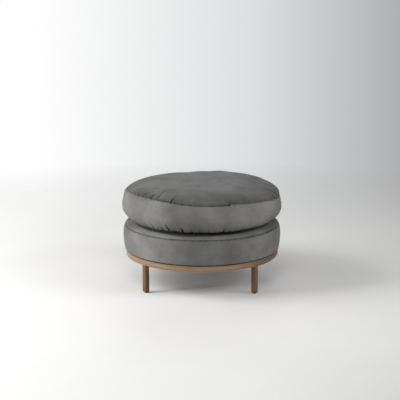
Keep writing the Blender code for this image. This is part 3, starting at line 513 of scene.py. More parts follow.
def simulated_folds():
    """Folds of the cover as a cloth simulation leaves them, by distance along from its upper seam.

    The cover is cut fuller round than the seams that hold it and is blown out, so that the spare cloth
    gathers at the seams. Its bulge is left to the cover's own line.
    """
    top, upper, lower, under, _ = cushion_line()
    top = stretch(top[top[:, 0] > SIM_HOLE_RADIUS], SIM_SPACING)
    border = stretch(np.concatenate([upper, lower]), SIM_SPACING)
    under = stretch(under, SIM_SPACING)
    line = np.concatenate([top, border[1:], under[1:]])
    seams = (len(top) - 1, len(top) + len(border) - 2)
    along = arc_lengths(line)
    angles = column_angles(SIM_COLUMNS)
    to_upper, to_under = along - along[seams[0]], along - along[seams[1]]
    spare = spare_cloth(-to_upper, *SPARE_TOP) + spare_cloth(to_upper * (to_under < 0), *SPARE_UPPER)
    spare += spare_cloth(-to_under * (to_upper > 0), *SPARE_LOWER) + spare_cloth(to_under, *SPARE_UNDER)
    cut_radius = line[:, 0] * (1 + spare)
    run, across = np.diff(along), np.diff(cut_radius)
    drop = np.sqrt(np.maximum(run ** 2 - across ** 2, (0.1 * run) ** 2))
    cut = plain_rings(outline(cut_radius, -summed(drop)), angles)
    held = np.zeros(len(line), bool)
    held[[0, 1, -2, -1, *seams]] = True
    rng = np.random.default_rng(3)
    start = np.zeros((len(line), SIM_COLUMNS))
    for _ in range(START_RIPPLES):
        count, rate = rng.integers(14, 90), rng.uniform(-40, 40)
        start += np.sin(count * angles + rate * along[:, None] + rng.uniform(0, FULL_TURN)) * rng.normal()
    start *= START_DEPTH * ~held[:, None]
    settled = settle_cloth(swept(line, angles, start), cut, held)
    normals = line_normals(line)
    moved = settled - swept(line, angles)
    outward = moved[..., 0] * np.cos(angles) + moved[..., 1] * np.sin(angles)
    folds = outward * normals[:, 0:1] + moved[..., 2] * normals[:, 1:2]
    return to_upper, folds - folds.mean(axis=1, keepdims=True)


def spare_cloth(away, share, reach):
    """The share by which the cover is cut too full beside a seam."""
    away = np.maximum(away, 0.0)
    return share * (1 - np.exp(-away / SPARE_START)) * np.exp(-(away / reach) ** 2)


def settle_cloth(shape, cut, held):
    """Simulates cloth that is cut like one grid of points and starts like another, with held rows.

    The solver suits large pieces of cloth, so the cover is simulated several times its size.
    """
    rows, columns = shape.shape[:2]
    corner = np.arange(rows - 1)[:, None] * columns + np.arange(columns)
    beside = np.roll(corner, -1, axis=1)
    quads = np.stack([corner, corner + columns, beside + columns, beside], axis=-1)
    piece = mesh_piece("cloth_trial", shape * SIM_SCALE, quads.reshape(-1, 4).tolist())
    piece.shape_key_add(name="start")
    pattern = piece.shape_key_add(name="cut")
    pattern.data.foreach_set("co", (cut * SIM_SCALE).astype(np.float32).ravel())
    pattern.value = 0.0
    pins = piece.vertex_groups.new(name="held")
    pins.add((np.flatnonzero(held)[:, None] * columns + np.arange(columns)).ravel().tolist(), 1.0, "REPLACE")
    cloth = piece.modifiers.new("cloth", "CLOTH")
    cloth.collision_settings.use_collision = False
    cloth.point_cache.frame_end = SIM_FRAMES
    for key, value in CLOTH.items():
        setattr(cloth.settings, key, value)
    cloth.settings.rest_shape_key = pattern
    cloth.settings.effector_weights.gravity = 0
    scene = bpy.context.scene
    scene.frame_start, scene.frame_end = 1, SIM_FRAMES
    for frame_number in range(1, SIM_FRAMES + 1):
        scene.frame_set(frame_number)
    settled = piece.evaluated_get(bpy.context.evaluated_depsgraph_get()).to_mesh()
    points = np.empty(len(settled.vertices) * 3, np.float32)
    settled.vertices.foreach_get("co", points)
    bpy.data.meshes.remove(piece.data)
    scene.frame_set(1)
    return points.reshape(shape.shape) / SIM_SCALE


def between_rows(places, known, values):
    """Rows of values on a smooth curve through the known rows."""
    index = np.clip(np.searchsorted(known, places) - 1, 1, len(known) - 3)
    step = ((places - known[index]) / (known[index + 1] - known[index]))[:, None]
    before, left, right, after = (values[index + i] for i in (-1, 0, 1, 2))
    bend = 2 * before - 5 * left + 4 * right - after
    twist = 3 * (left - right) + after - before
    return left + 0.5 * step * (right - before + step * (bend + step * twist))


def gathers(to_upper, angles):
    known, folds = simulated_folds()
    finer = np.fft.irfft(np.fft.rfft(folds, axis=1), len(angles), axis=1) * len(angles) / SIM_COLUMNS
    inside = (to_upper > known[0]) & (to_upper < known[-1])
    return between_rows(np.clip(to_upper, known[0], known[-1]), known, finer) * inside[:, None]


def fold_amount(angles, where, away, reach, *fullness):
    """How much of the simulated folds shows beside a seam."""
    return (np.exp(-away / reach) * where)[:, None] * strength(angles, *fullness)


def crown_lift(points, angles):
    """Soft lumps and a slow wave that raise the top, less towards the seam."""
    x, y, z = np.moveaxis(points, -1, 0)
    share = np.minimum(np.hypot(x, y) / TOP_SEAM_RADIUS, 1.0)
    height = np.clip((z - CUSHION_WIDEST) / (TOP_SEAM_HEIGHT - CUSHION_WIDEST), 0, None)
    lift = CROWN_WAVE * (np.sin(3 * angles + CROWN_WAVE_TURN) * share + np.cos(angles)) * share
    for middle_x, middle_y, spread, rise in TOP_LUMPS:
        lift += rise * MM * np.exp(-((x - middle_x) ** 2 + (y - middle_y) ** 2) / spread ** 2)
    return lift * (1 - share ** 6) * height


def cushion_cover():
    line, upper_row, first_band, under_row = cover_rows()
    along = arc_lengths(line)
    angles = column_angles(COLUMNS)
    rng = np.random.default_rng(11)
    to_upper, to_under = along - along[upper_row], along - along[under_row]
    on_top, below = to_upper < 0, to_under > 0
    on_border = ~on_top & ~below
    seams = ((on_top, -to_upper, TOP_SEAM_RADIUS, TOP_FOLDS, TOP_CREASES, TOP_PUCKERS),
             (on_border, to_upper, TOP_SEAM_RADIUS, UPPER_FOLDS, UPPER_CREASES, UPPER_PUCKERS),
             (on_border, -to_under, UNDER_SEAM_RADIUS, LOWER_FOLDS, LOWER_CREASES, LOWER_PUCKERS))
    amount = fold_amount(angles, below, to_under, *UNDERSIDE_FOLDS)
    for where, away, _, fullness, _, _ in seams:
        amount += fold_amount(angles, where, away, *fullness)
    folds = gathers(to_upper, angles) * amount
    for where, away, radius, _, creases, small in seams:
        for degrees, lean, *sizes in creases:
            place = math.radians(degrees)
            marks = crease(angles, away, radius, place, lean, *(size * MM for size in sizes))
            folds += marks * where[:, None]
        folds += puckers(rng, angles, away, radius, *small) * where[:, None]

    push = folds + seam_dip(to_upper, *UPPER_SEAM_DIP) + seam_dip(to_under, *UNDER_SEAM_DIP)
    push += strength(angles, 0.0, FULL_SIDES) * hump(to_upper, *FULL_SIDES_AT)
    push += strength(angles, 0.0, FULL_BELOW) * hump(to_under, *FULL_BELOW_AT)
    above_floor = smooth((line[:, 1] - 1 * MM) / (20 * MM))[:, None]
    push += swells(rng, swept(line, angles), *CUSHION_SWELLS) * above_floor
    from_zip = np.abs(line[:, 1] - CUSHION_WIDEST)
    near_zip = (1 - smooth((from_zip - 9 * MM) / (14 * MM))) * on_border
    at_back = smooth((np.sin(angles) - math.sin(ZIP_START) + 0.12) / 0.2)
    push *= 1 - near_zip[:, None] * at_back

    held = 1 - np.where(on_top, -to_upper / SEAM_PULL_TOP, to_upper / SEAM_PULL_BORDER)
    path = eased(angles, SEAM_PATH, SEAM_PATH_EASE) * MM + SEAM_KINK * kink(angles)
    path += waves(rng, angles, SEAM_RIPPLES, strength(angles, *SEAM_RAGGED))
    points = swept(line, angles, push, -smooth(held)[:, None] * path)
    in_zip = np.flatnonzero((angles > ZIP_START) & (angles < ZIP_END))
    points[first_band + ZIP_FLOOR_ROWS[:, None], in_zip, :2] *= ZIP_FLOOR_RADIUS / CUSHION_RADIUS
    points[..., 2] += crown_lift(points, angles) + CUSHION_Z
    poles = [(0, 0, points[row, :, 2].mean()) for row in (0, -1)]
    piece = turned("cushion_cover", points, *poles)
    shade_cushion(piece, angles, to_upper, to_under, folds)
    return piece


def shade_cushion(piece, angles, to_upper, to_under, folds):
    """Marks the painted shade of the seams, creases and covered strip, and the tone of the pile with painted
    light and shade over it.
    """
    # Painted shade: the seams, the creases and the strip under the cushion's edge are darkened in colour
    # where shade would fall
    crisp = strength(angles, *SEAM_SHADE)
    crisp += waves(np.random.default_rng(17), angles, SEAM_SPOTS, strength(angles, *SEAM_SPOT_SHADE))
    seam = np.exp(-np.abs(to_upper) / SEAM_SHADE_WIDTH)[:, None] * np.clip(crisp, 0, 1)
    shade = np.where(to_upper > LOW_BORDER_FROM, LOWER_FOLD_SHADE, FOLD_SHADE)[:, None]
    creased = shade * np.clip(-folds / FOLD_SHADE_DEPTH, 0, 1) ** FOLD_SHADE_POWER
    strip = smooth(to_under / (8 * MM)) * (1 - smooth((to_under - 35 * MM) / (35 * MM)))
    under = np.maximum(UNDERSIDE_SHADE * strip, np.exp(-np.abs(to_under) / SEAM_SHADE_WIDTH))
    mark(piece, "painted_shade", np.maximum(np.maximum(seam, creased), under[:, None]))

    # Painted light and shade: darker at the top's edge and low on the border, lighter in a patch low at the
    # front left, and changing round the piece
    on_top, inward = (to_upper < 0)[:, None], np.minimum(to_upper, 0)
    top_tone_and_painted_light = (TOP_TONE - TOP_EDGE_PAINTED_SHADE * np.exp(inward / (50 * MM)))[:, None]
    top_tone_and_painted_light = top_tone_and_painted_light * (1 + np.exp(inward / (120 * MM))[:, None] * (eased(angles, TOP_PAINTED_LIGHT, PAINTED_LIGHT_EASE) - 1))
    low_on_border = smooth((to_upper - LOW_BORDER_FROM) / (70 * MM))[:, None]
    border_tone_and_painted_light = BORDER_TONE - low_on_border * (LOW_BORDER_PAINTED_SHADE - strength(angles, 0.0, LOW_BORDER_PAINTED_LIGHT))
    mark(piece, "nap_and_painted_light", np.where(on_top, top_tone_and_painted_light, border_tone_and_painted_light * eased(angles, BORDER_PAINTED_LIGHT, PAINTED_LIGHT_EASE)))


def kink(angles):
    """A tuck in the seam at the front right: it steps up sharply and comes down slowly."""
    turn = turned_from(angles, SEAM_KINK_AT)
    return smooth(turn / SEAM_KINK_RISE + 1) * np.exp(-np.maximum(turn, 0) / SEAM_KINK_FALL)


# Drum


def shoulder_line():
    """The rounded top edge of the drum, from its flat top down to its seam."""
    turn = np.linspace(math.pi / 2, 0, 60)
    inward, down = (1 - wave ** (2 / SHOULDER_POWER) for wave in (np.cos(turn), np.sin(turn)))
    return outline(DRUM_SEAM_RADIUS - SHOULDER_WIDTH * inward, DRUM_TOP_Z - DRUM_SEAM_DROP * down)


def drum_cover():
    seam_at = (DRUM_SEAM_RADIUS, DRUM_TOP_Z - DRUM_SEAM_DROP)
    widest = (DRUM_RADIUS, DRUM_WIDEST_Z)
    foot_z = DRUM_Z + DRUM_FOOT_BEND
    flat = np.linspace(HUB_RADIUS, DRUM_SEAM_RADIUS - SHOULDER_WIDTH, 30)[:-1]
    top = stretch(np.concatenate([outline(flat, DRUM_TOP_Z), shoulder_line()]), 12, 10, 1.2)
    side = bowed(np.linspace(1, 0, 40), widest, seam_at, DRUM_BULGE_POWER)
    foot = bowed(np.linspace(0, 1, 40)[1:], widest, (DRUM_FOOT_RADIUS, foot_z), DRUM_FOOT_POWER)
    side = stretch(np.concatenate([side, foot]), 1.2, 2.6, 2.4)
    turn = np.linspace(0, math.pi / 2, 8)[1:]
    inner = DRUM_FOOT_RADIUS - DRUM_FOOT_BEND
    bend = outline(inner + DRUM_FOOT_BEND * np.cos(turn), foot_z - DRUM_FOOT_BEND * np.sin(turn))
    hem = stretch(outline([inner, DRUM_HEM_RADIUS], DRUM_Z), 4, 8, 8)
    line = np.concatenate([top, side[1:], bend, hem[1:]])
    along = arc_lengths(line)
    from_seam = along - along[len(top) - 1]
    above_foot = line[:, 1:2] - DRUM_Z

    angles = column_angles(DRUM_COLUMNS)
    rng = np.random.default_rng(5)
    push = seam_dip(from_seam, *DRUM_SEAM_DIP) + np.zeros(DRUM_COLUMNS)
    for away in (from_seam, -from_seam):
        push += puckers(rng, angles, away, DRUM_SEAM_RADIUS, *DRUM_PUCKERS) * (away > 0)[:, None]
    clear = smooth(above_foot / (16 * MM)) * smooth((DRUM_TOP_Z - line[:, 1:2]) / (6 * MM))
    push += swells(rng, swept(line, angles), *DRUM_SWELLS) * clear
    on_side = smooth(from_seam / (4 * MM))[:, None] * smooth(above_foot / (4 * MM))
    from_join = np.abs(np.radians(turned_from(angles, DRUM_JOIN_AT))) * DRUM_RADIUS
    depth, width = DRUM_JOIN_DIP
    push -= depth * np.exp(-from_join / width) * on_side
    ripple = waves(rng, angles, SEAM_RIPPLES, DRUM_RIPPLE)
    points = swept(line, angles, push, hump(from_seam, 0.0, DRUM_RIPPLE_REACH) * ripple)
    piece = turned("drum_cover", points, (0, 0, DRUM_TOP_Z))

    # Painted shade in the seam, along the crease at the foot and on the deck under the cushion's edge
    unevenness = waves(rng, angles, SEAM_RIPPLES, 0.15)
    seam = np.exp(-np.abs(from_seam)[:, None] / strength(angles, *DRUM_SEAM_WIDTH))
    seam = np.clip(seam * (DRUM_SEAM_SHADE + unevenness), 0, 1)
    foot = DRUM_SEAM_SHADE * (1 - smooth((above_foot - 2 * MM) / (5 * MM)))
    radius = line[:, 0:1]
    deck = smooth((strength(angles, *DECK_EDGE) - radius) / (6 * MM))
    deck = DECK_SHADE * deck * smooth((radius - DECK_INNER) / (25 * MM))
    above = (from_seam < 0)[:, None]
    mark(piece, "painted_shade", np.maximum(np.maximum(seam, foot), deck * above))
    # Painted light on the top towards the front, and painted light and shade round the side
    mark(piece, "nap_and_painted_light", np.where(above, strength(angles, *DRUM_TOP_PAINTED_LIGHT), eased(angles, DRUM_PAINTED_LIGHT, PAINTED_LIGHT_EASE)))
    return piece


# Fillings, which the covers hide


def filling(name, line, seed, sizes, depth):
    """A filled pad from a line that runs down its outside, with soft lumps all over."""
    angles = column_angles(INNER_COLUMNS)
    rng = np.random.default_rng(seed)
    points = swept(line, angles, swells(rng, swept(line, angles), sizes, depth))
    if line[0, 0] > 10 * MM:
        return turned(name, points, closed=True)
    return turned(name, points, (0, 0, line[0, 1]), (0, 0, line[-1, 1]))


def cushion_insert():
    line = stretch(np.concatenate([part[:-1] for part in cushion_line()]), 8)
    line -= line_normals(line) * INSERT_ROOM
    line[:, 0] = np.maximum(line[:, 0], 1 * MM)
    line[:, 1] += CUSHION_Z
    return filling("cushion_insert", line, 21, (0.12, 0.07), 0.8 * MM)


def seat_foam():
    low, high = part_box("seat_foam")
    shoulder = shoulder_line() - FOAM_ROOM
    top, foot = min(high.z - 1 * MM, shoulder[0, 1]), low.z + 1 * MM
    outer = shoulder[-1, 0]
    line = np.concatenate([[(1 * MM, top), (shoulder[0, 0], top)], shoulder[shoulder[:, 1] < top],
                           [(outer, foot + 3 * MM), (outer - 3 * MM, foot), (1 * MM, foot)]])
    return filling("seat_foam_pad", stretch(line, 12, 3, 12), 22, (0.2,), 0.3 * MM)


def side_wadding():
    low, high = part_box("side_wadding")
    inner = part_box("frame_band")[1].x + 1 * MM
    outer = DRUM_FOOT_RADIUS - WADDING_ROOM
    line = rounded_box_line(inner, outer, low.z + 1 * MM, high.z - 1 * MM, WADDING_ROOM)
    line = stretch(np.concatenate([line, line[:1]]), 4)[:-1]
    return filling("side_wadding_wrap", line, 23, (0.06, 0.03), 0.5 * MM)


# Small trim


def small_bars(name, centres, directions, half_length, radius):
    """Many small round bars with eased ends as one piece, such as teeth or stitches."""
    outward = centres * (1, 1, 0)
    outward /= np.linalg.norm(outward, axis=1, keepdims=True)
    sideways = np.cross(directions, outward)
    turn = column_angles(BAR_SIDES)
    rim = np.cos(turn)[:, None] * outward[:, None, :] + np.sin(turn)[:, None] * sideways[:, None, :]
    rings = [centres[:, None, :] + directions[:, None, :] * half_length * share + rim * radius * width
             for share, width in ((-1.0, 0.5), (-0.75, 1.0), (0.75, 1.0), (1.0, 0.5))]
    coords = np.stack(rings, axis=1)
    count, stations = coords.shape[:2]
    index = np.arange(coords.size // 3).reshape(count, stations, BAR_SIDES)
    beside = np.roll(index, -1, axis=2)
    sides = np.stack([index[:, :-1], beside[:, :-1], beside[:, 1:], index[:, 1:]], axis=-1)
    faces = sides.reshape(-1, 4).tolist() + index[:, 0, ::-1].tolist() + index[:, -1].tolist()
    return mesh_piece(name, coords, faces)


def round_places(start, end, spacing, radius, height):
    """Evenly spaced places on an arc round the axis, with the directions round and up there."""
    angles = np.arange(start, end, spacing / radius)
    level = np.zeros_like(angles)
    centres = np.stack([radius * np.cos(angles), radius * np.sin(angles), level + height], axis=1)
    round_way = np.stack([-np.sin(angles), np.cos(angles), level], axis=1)
    return centres, round_way, np.stack([level, level, level + 1], axis=1)


def zip_teeth(name, side):
    """A row of teeth along one edge of the zip. One row is half a step ahead of the other."""
    place = TEETH_FROM_AXIS
    start = ZIP_START + ZIP_END_ROOM + (side > 0) * TOOTH_STEP / 2 / place
    height = CUSHION_Z + CUSHION_WIDEST + side * TOOTH_OFFSET
    centres, _, up = round_places(start, ZIP_END - ZIP_END_ROOM, TOOTH_STEP, place, height)
    return small_bars(name, centres, up, TOOTH_LENGTH / 2, TOOTH_RADIUS)


def zip_stitching():
    """The stitches that hold both tapes to the border, a row above the zip and one below."""
    heights = [CUSHION_Z + CUSHION_WIDEST + side * STITCH_OFFSET for side in (-1, 1)]
    rows = [round_places(ZIP_START, ZIP_END, STITCH_STEP, CUSHION_RADIUS, height) for height in heights]
    centres, round_way = (np.concatenate([row[i] for row in rows]) for i in (0, 1))
    return small_bars("zip_stitching", centres, round_way, STITCH_LENGTH / 2, STITCH_RADIUS)


def dust_cover_cloth():
    """Thin lining stretched under the frame with a slight sag, and its width."""
    low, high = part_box("dust_cover")
    radii = np.linspace(2 * MM, high.x, 40)
    sag = LINING_SAG * (1 - smooth(radii / (RING_HIGH.x - RING_WIDTH - 4 * MM)))
    under = outline(radii, low.z + 0.1 * MM - sag)[::-1]
    above = under[::-1] + (0, LINING_THICKNESS)
    points = plain_rings(np.concatenate([above, under]), column_angles(INNER_COLUMNS))
    return turned("dust_cover_cloth", points, (0, 0, above[0, 1]), (0, 0, under[-1, 1])), 2 * high.x


# Timber ring


def rounded_box_line(inner, outer, bottom, top, edge):
    """Closed outline of a band with rounded edges, running down its outside."""
    corners = ((outer - edge, top - edge), (outer - edge, bottom + edge),
               (inner + edge, bottom + edge), (inner + edge, top - edge))
    parts = []
    for number, (radius, height) in enumerate(corners):
        turn = np.radians(np.linspace(90, 0, 6) - 90 * number)
        parts.append(outline(radius + edge * np.cos(turn), height + edge * np.sin(turn)))
    return np.concatenate(parts)


def timber_ring():
    outer = RING_HIGH.x
    line = rounded_box_line(outer - RING_WIDTH, outer, RING_LOW.z, RING_HIGH.z, RING_EDGE)
    angles = column_angles(TIMBER_COLUMNS)
    piece = turned("timber_ring", plain_rings(line, angles), closed=True)
    # Painted light and shade round the ring: darker to the right, lighter at the front
    mark(piece, "ring_painted_light", np.tile(eased(angles, RING_PAINTED_LIGHT, PAINTED_LIGHT_EASE), len(line)))
    countersink(piece)
    return piece


def countersink(piece):
    """Opens holes in the underside of the ring round the real screws."""
    cutters = []
    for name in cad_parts:
        if name.startswith("plinth_screw"):
            low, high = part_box(name)
            middle = (low + high) / 2
            head = (high.x - low.x) / 2 + SCREW_GAP
            neck_z, end_z = low.z + SCREW_HEAD + SCREW_GAP, RING_HIGH.z + 1 * MM
            line = outline([head / 2, head / 2, head, head],
                           [end_z, neck_z, low.z + SCREW_GAP, low.z - 2 * SCREW_GAP - 1 * MM])
            points = plain_rings(line, column_angles(SCREW_SIDES)) + (middle.x, middle.y, 0)
            poles = [(middle.x, middle.y, height) for height in (line[0, 1], line[-1, 1])]
            cutters.append(turned("cutter", points, *poles))
            cut = piece.modifiers.new("cut", "BOOLEAN")
            cut.object = cutters[-1]
            cut.solver = "EXACT"
    finished = bpy.data.meshes.new_from_object(piece.evaluated_get(bpy.context.evaluated_depsgraph_get()))
    piece.modifiers.clear()
    piece.data = finished
    for cutter in cutters:
        bpy.data.objects.remove(cutter)


# Materials


class Nodes:
    """A short way to write a material's nodes."""

    def __init__(self, name):
        self.material = bpy.data.materials.new(name)
        self.material.use_nodes = True
        self.tree = self.material.node_tree
        self.shader = self.tree.nodes["Principled BSDF"]

    def add(self, kind, inputs=None, **settings):
        node = self.tree.nodes.new("ShaderNode" + kind)
        for key, value in settings.items():
            setattr(node, key, value)
        for key, value in (inputs or {}).items():
            self.put(node.inputs[key], value)
        return node

    def put(self, socket, value):
        if isinstance(value, bpy.types.NodeSocket):
            self.tree.links.new(value, socket)
        else:
            socket.default_value = (*value, 1.0) if socket.type == "RGBA" else value

    def position(self, scale=(1, 1, 1), uv=None):
        node = self.add("UVMap", uv_map=uv) if uv else self.add("TexCoord")
        coords = node.outputs["UV" if uv else "Object"]
        return self.add("Mapping", {"Vector": coords, "Scale": scale}).outputs[0]

    def noise(self, vector, scale, detail=3.0, roughness=0.5, distortion=0.0):
        inputs = {"Vector": vector, "Scale": scale, "Detail": detail, "Roughness": roughness}
        return self.add("TexNoise", {**inputs, "Distortion": distortion}).outputs[0]

    def attribute(self, name):
        return self.add("Attribute", attribute_name=name).outputs["Fac"]

    def ramp(self, factor, *stops):
        node = self.add("ValToRGB", {"Fac": factor})
        band = node.color_ramp
        while len(band.elements) < len(stops):
            band.elements.new(0.5)
        for element, (place, color) in zip(band.elements, stops):
            element.position = place
            element.color = (*color, 1.0) if hasattr(color, "__len__") else (color, color, color, 1.0)
        return node.outputs["Color"]

    def mix(self, factor, a, b, blend="MIX"):
        return self.add("Mix", {0: factor, 6: a, 7: b}, data_type="RGBA", blend_type=blend).outputs[2]

    def math(self, operation, a, b=0.0):
        return self.add("Math", {0: a, 1: b}, operation=operation).outputs[0]

    def bump(self, height, distance, strength=1.0, under=None):
        inputs = {"Height": height, "Distance": distance, "Strength": strength}
        if under is not None:
            inputs["Normal"] = under
        return self.add("Bump", inputs).outputs["Normal"]

    def finish(self, **sockets):
        names = {"color": "Base Color", "sheen": "Sheen Weight", "specular": "Specular IOR Level"}
        for key, value in sockets.items():
            self.put(self.shader.inputs[names.get(key, key.replace("_", " ").title())], value)
        return self.material


def velvet():
    """Short grey pile with soft patches where it lies differently, painted shade in its seams, creases and
    covered strips, and painted light and shade round the piece.
    """
    n = Nodes("grey_velvet")
    nap_and_painted_light = n.noise(n.position(), 7.0, 3.0, 0.55, 0.6)
    brushed = n.noise(n.position((1, 1, 2.2)), 22.0, 4.0, 0.6, 0.3)
    pile = n.noise(n.position(), 900.0, 2.0, 0.6)
    base = n.ramp(nap_and_painted_light, (0.30, (0.114, 0.113, 0.109)), (0.70, (0.188, 0.187, 0.182)))
    base = n.mix(0.3, base, n.ramp(brushed, (0.3, 0.42), (0.7, 0.60)), "OVERLAY")
    base = n.mix(0.25, base, n.ramp(pile, (0.3, 0.35), (0.7, 0.65)), "OVERLAY")
    # Painted light and shade round the piece multiply the colour
    base = n.mix(1.0, base, n.attribute("nap_and_painted_light"), "MULTIPLY")
    # Painted shade: the colour goes towards near-black in the seams, creases and covered strips
    base = n.mix(n.attribute("painted_shade"), base, (0.008, 0.008, 0.008))
    fine = n.bump(pile, 0.6 * MM, 0.5)
    normal = n.bump(brushed, 1.5 * MM, 0.2, fine)
    return n.finish(color=base, roughness=0.92, normal=normal, sheen=0.06, sheen_roughness=0.45,
                    sheen_tint=(0.9, 0.9, 0.88), specular=0.1)


def oak(name, along, tone, uv=None):
    """Brown-stained timber with fine pores along the grain, lighter or darker by its tone."""
    n = Nodes(name)
    coords = n.position(along, uv)
    bands = n.noise(coords, 1.0, 4.0, 0.6, 0.8)
    pores = n.noise(coords, 6.0, 3.0, 0.7)
    fleck = n.noise(coords, 2.4, 5.0, 0.65, 0.3)
    color = n.ramp(bands, (0.25, (0.150, 0.088, 0.052)), (0.55, (0.215, 0.132, 0.082)),
                   (0.8, (0.29, 0.185, 0.12)))
    color = n.mix(0.5, color, n.ramp(fleck, (0.35, 0.38), (0.7, 0.60)), "OVERLAY")
    color = n.mix(n.ramp(pores, (0.62, 0.0), (0.72, 0.55)), color, (0.07, 0.04, 0.025))
    color = n.mix(1.0, color, tone, "MULTIPLY")
    # On the ring, the painted light and shade round the stool multiply the colour
    if uv:
        color = n.mix(1.0, color, n.attribute("ring_painted_light"), "MULTIPLY")
    normal = n.bump(pores, 0.25 * MM, 0.3)
    return n.finish(color=color, roughness=0.55, normal=normal, specular=0.25)


def nylon():
    n = Nodes("dark_nylon")
    grain = n.noise(n.position(), 600.0, 2.0)
    return n.finish(color=n.ramp(grain, (0.3, (0.022, 0.018, 0.015)), (0.7, (0.034, 0.027, 0.022))),
                    roughness=n.ramp(grain, (0.3, 0.45), (0.7, 0.6)), normal=n.bump(grain, 0.2 * MM, 0.3))


def plywood():
    n = Nodes("birch_ply")
    face = n.noise(n.position((3, 60, 3)), 1.0, 4.0, 0.6)
    height = n.add("SeparateXYZ", {0: n.position((1, 1, 1 / (3 * MM)))}).outputs["Z"]
    layer = n.math("PINGPONG", height, 1.0)
    color = n.ramp(face, (0.3, (0.50, 0.36, 0.22)), (0.7, (0.66, 0.51, 0.34)))
    color = n.mix(n.ramp(layer, (0.45, 0.0), (0.55, 0.5)), color, (0.36, 0.23, 0.13))
    return n.finish(color=color, roughness=0.7, normal=n.bump(face, 0.3 * MM, 0.3))


def woven(name, dark, light, pitch, roughness=0.85):
    """Threads that cross over and under each other, with a little unevenness."""
    n = Nodes(name)
    x, y, z = n.add("SeparateXYZ", {0: n.position((math.pi / pitch,) * 3)}).outputs
    crossing = n.math("MULTIPLY", n.math("SINE", n.math("ADD", x, z)), n.math("SINE", n.math("ADD", y, z)))
    thread = n.math("ABSOLUTE", crossing)
    uneven = n.noise(n.position(), 120.0, 3.0)
    height = n.math("ADD", n.math("MULTIPLY", thread, 0.7), n.math("MULTIPLY", uneven, 0.3))
    return n.finish(color=n.ramp(height, (0.2, dark), (0.75, light)), roughness=roughness,
                    normal=n.bump(height, 0.3 * MM, 0.6))


def plain_cloth(name, dark, light, scale, roughness=0.9):
    n = Nodes(name)
    threads = n.noise(n.position(), scale, 2.0, 0.6)
    return n.finish(color=n.ramp(threads, (0.3, dark), (0.7, light)), roughness=roughness,
                    normal=n.bump(threads, 0.4 * MM, 0.4))


def metal(name, dark, light, rough):
    n = Nodes(name)
    grain = n.noise(n.position((1, 1, 4)), 300.0, 3.0)
    roughness = n.ramp(grain, (0.3, rough), (0.7, rough + 0.15))
    return n.finish(color=n.ramp(grain, (0.3, dark), (0.7, light)), metallic=1.0, roughness=roughness,
                    normal=n.bump(grain, 0.1 * MM, 0.2))


def paper_floor():
    """Pale paper that thins out to nothing far from the stool, and is clear from below."""
    n = Nodes("pale_floor")
    tone = n.noise(n.position(), 1.5, 3.0)
    away = n.add("VectorMath", {0: n.position()}, operation="LENGTH").outputs["Value"]
    cover = n.ramp(n.math("DIVIDE", away, FLOOR_RADIUS), (0.22, 1.0), (0.55, 0.45), (0.98, 0.0))
    from_above = n.math("SUBTRACT", 1.0, n.add("NewGeometry").outputs["Backfacing"])
    n.put(n.shader.inputs["Alpha"], n.math("MULTIPLY", cover, from_above))
    color = n.ramp(tone, (0.3, (0.80, 0.795, 0.785)), (0.7, (0.84, 0.835, 0.825)))
    return n.finish(color=color, roughness=0.55, specular=0.35)


def glowing_paper():
    n = Nodes("pale_backdrop")
    across = n.add("SeparateXYZ", {0: n.position()}).outputs["X"]
    tone = n.math("ADD", n.math("DIVIDE", across, 2 * BACKDROP_RADIUS), 0.5)
    tone = n.math("ADD", tone, n.math("MULTIPLY", n.noise(n.position(), 0.05, 2.0), 0.05))
    # Painted light: the glow is brightest on the left and dims to the right
    color = n.ramp(tone, (0.40, 1.0), (0.54, (0.72, 0.728, 0.737)), (0.66, (0.34, 0.34, 0.345)))
    glow = n.add("Emission", {"Color": color})
    n.tree.links.new(glow.outputs[0], n.tree.nodes["Material Output"].inputs["Surface"])
    return n.material


def dress(piece, material):
    piece.data.materials.clear()
    piece.data.materials.append(material)


# Stage, lights and camera


def stage():
    """A pale floor that fades out into a pale backdrop, which glows as painted light, brighter on the left
    than on the right, and which only the camera and glossy rays see.
    """
    floor = ball("studio_floor", FLOOR_RADIUS, 0.0)
    dress(floor, paper_floor())
    backdrop = ball("studio_backdrop", BACKDROP_RADIUS, 1.0)
    dress(backdrop, glowing_paper())
    for rays in ("diffuse", "transmission", "shadow"):
        setattr(backdrop, "visible_" + rays, False)


def ball(name, radius, tallness):
    """A sphere, or a flat disc where its tallness is 0."""
    turn = np.linspace(0, math.pi, 33)[1:-1] if tallness else np.linspace(0, math.pi / 2, 33)[1:]
    line = outline(radius * np.sin(turn), radius * tallness * np.cos(turn))
    poles = ((0, 0, radius * tallness), (0, 0, -radius * tallness) if tallness else None)
    return turned(name, plain_rings(line, column_angles(STAGE_COLUMNS)), *poles)


def lights():
    world = bpy.data.worlds.new("studio")
    world.use_nodes = True
    world.node_tree.nodes["Background"].inputs["Color"].default_value = (*(ROOM_LIGHT,) * 3, 1.0)
    bpy.context.scene.world = world
    for name, place, size, power in LAMPS:
        data = bpy.data.lights.new(name, "AREA")
        data.shape = "DISK"
        data.size = size
        data.energy = power
        light = new_piece(name, data)
        light.location = place
        light.rotation_mode = "QUATERNION"
        light.rotation_quaternion = (Vector(LAMP_TARGET) - Vector(place)).to_track_quat("-Z", "Y")


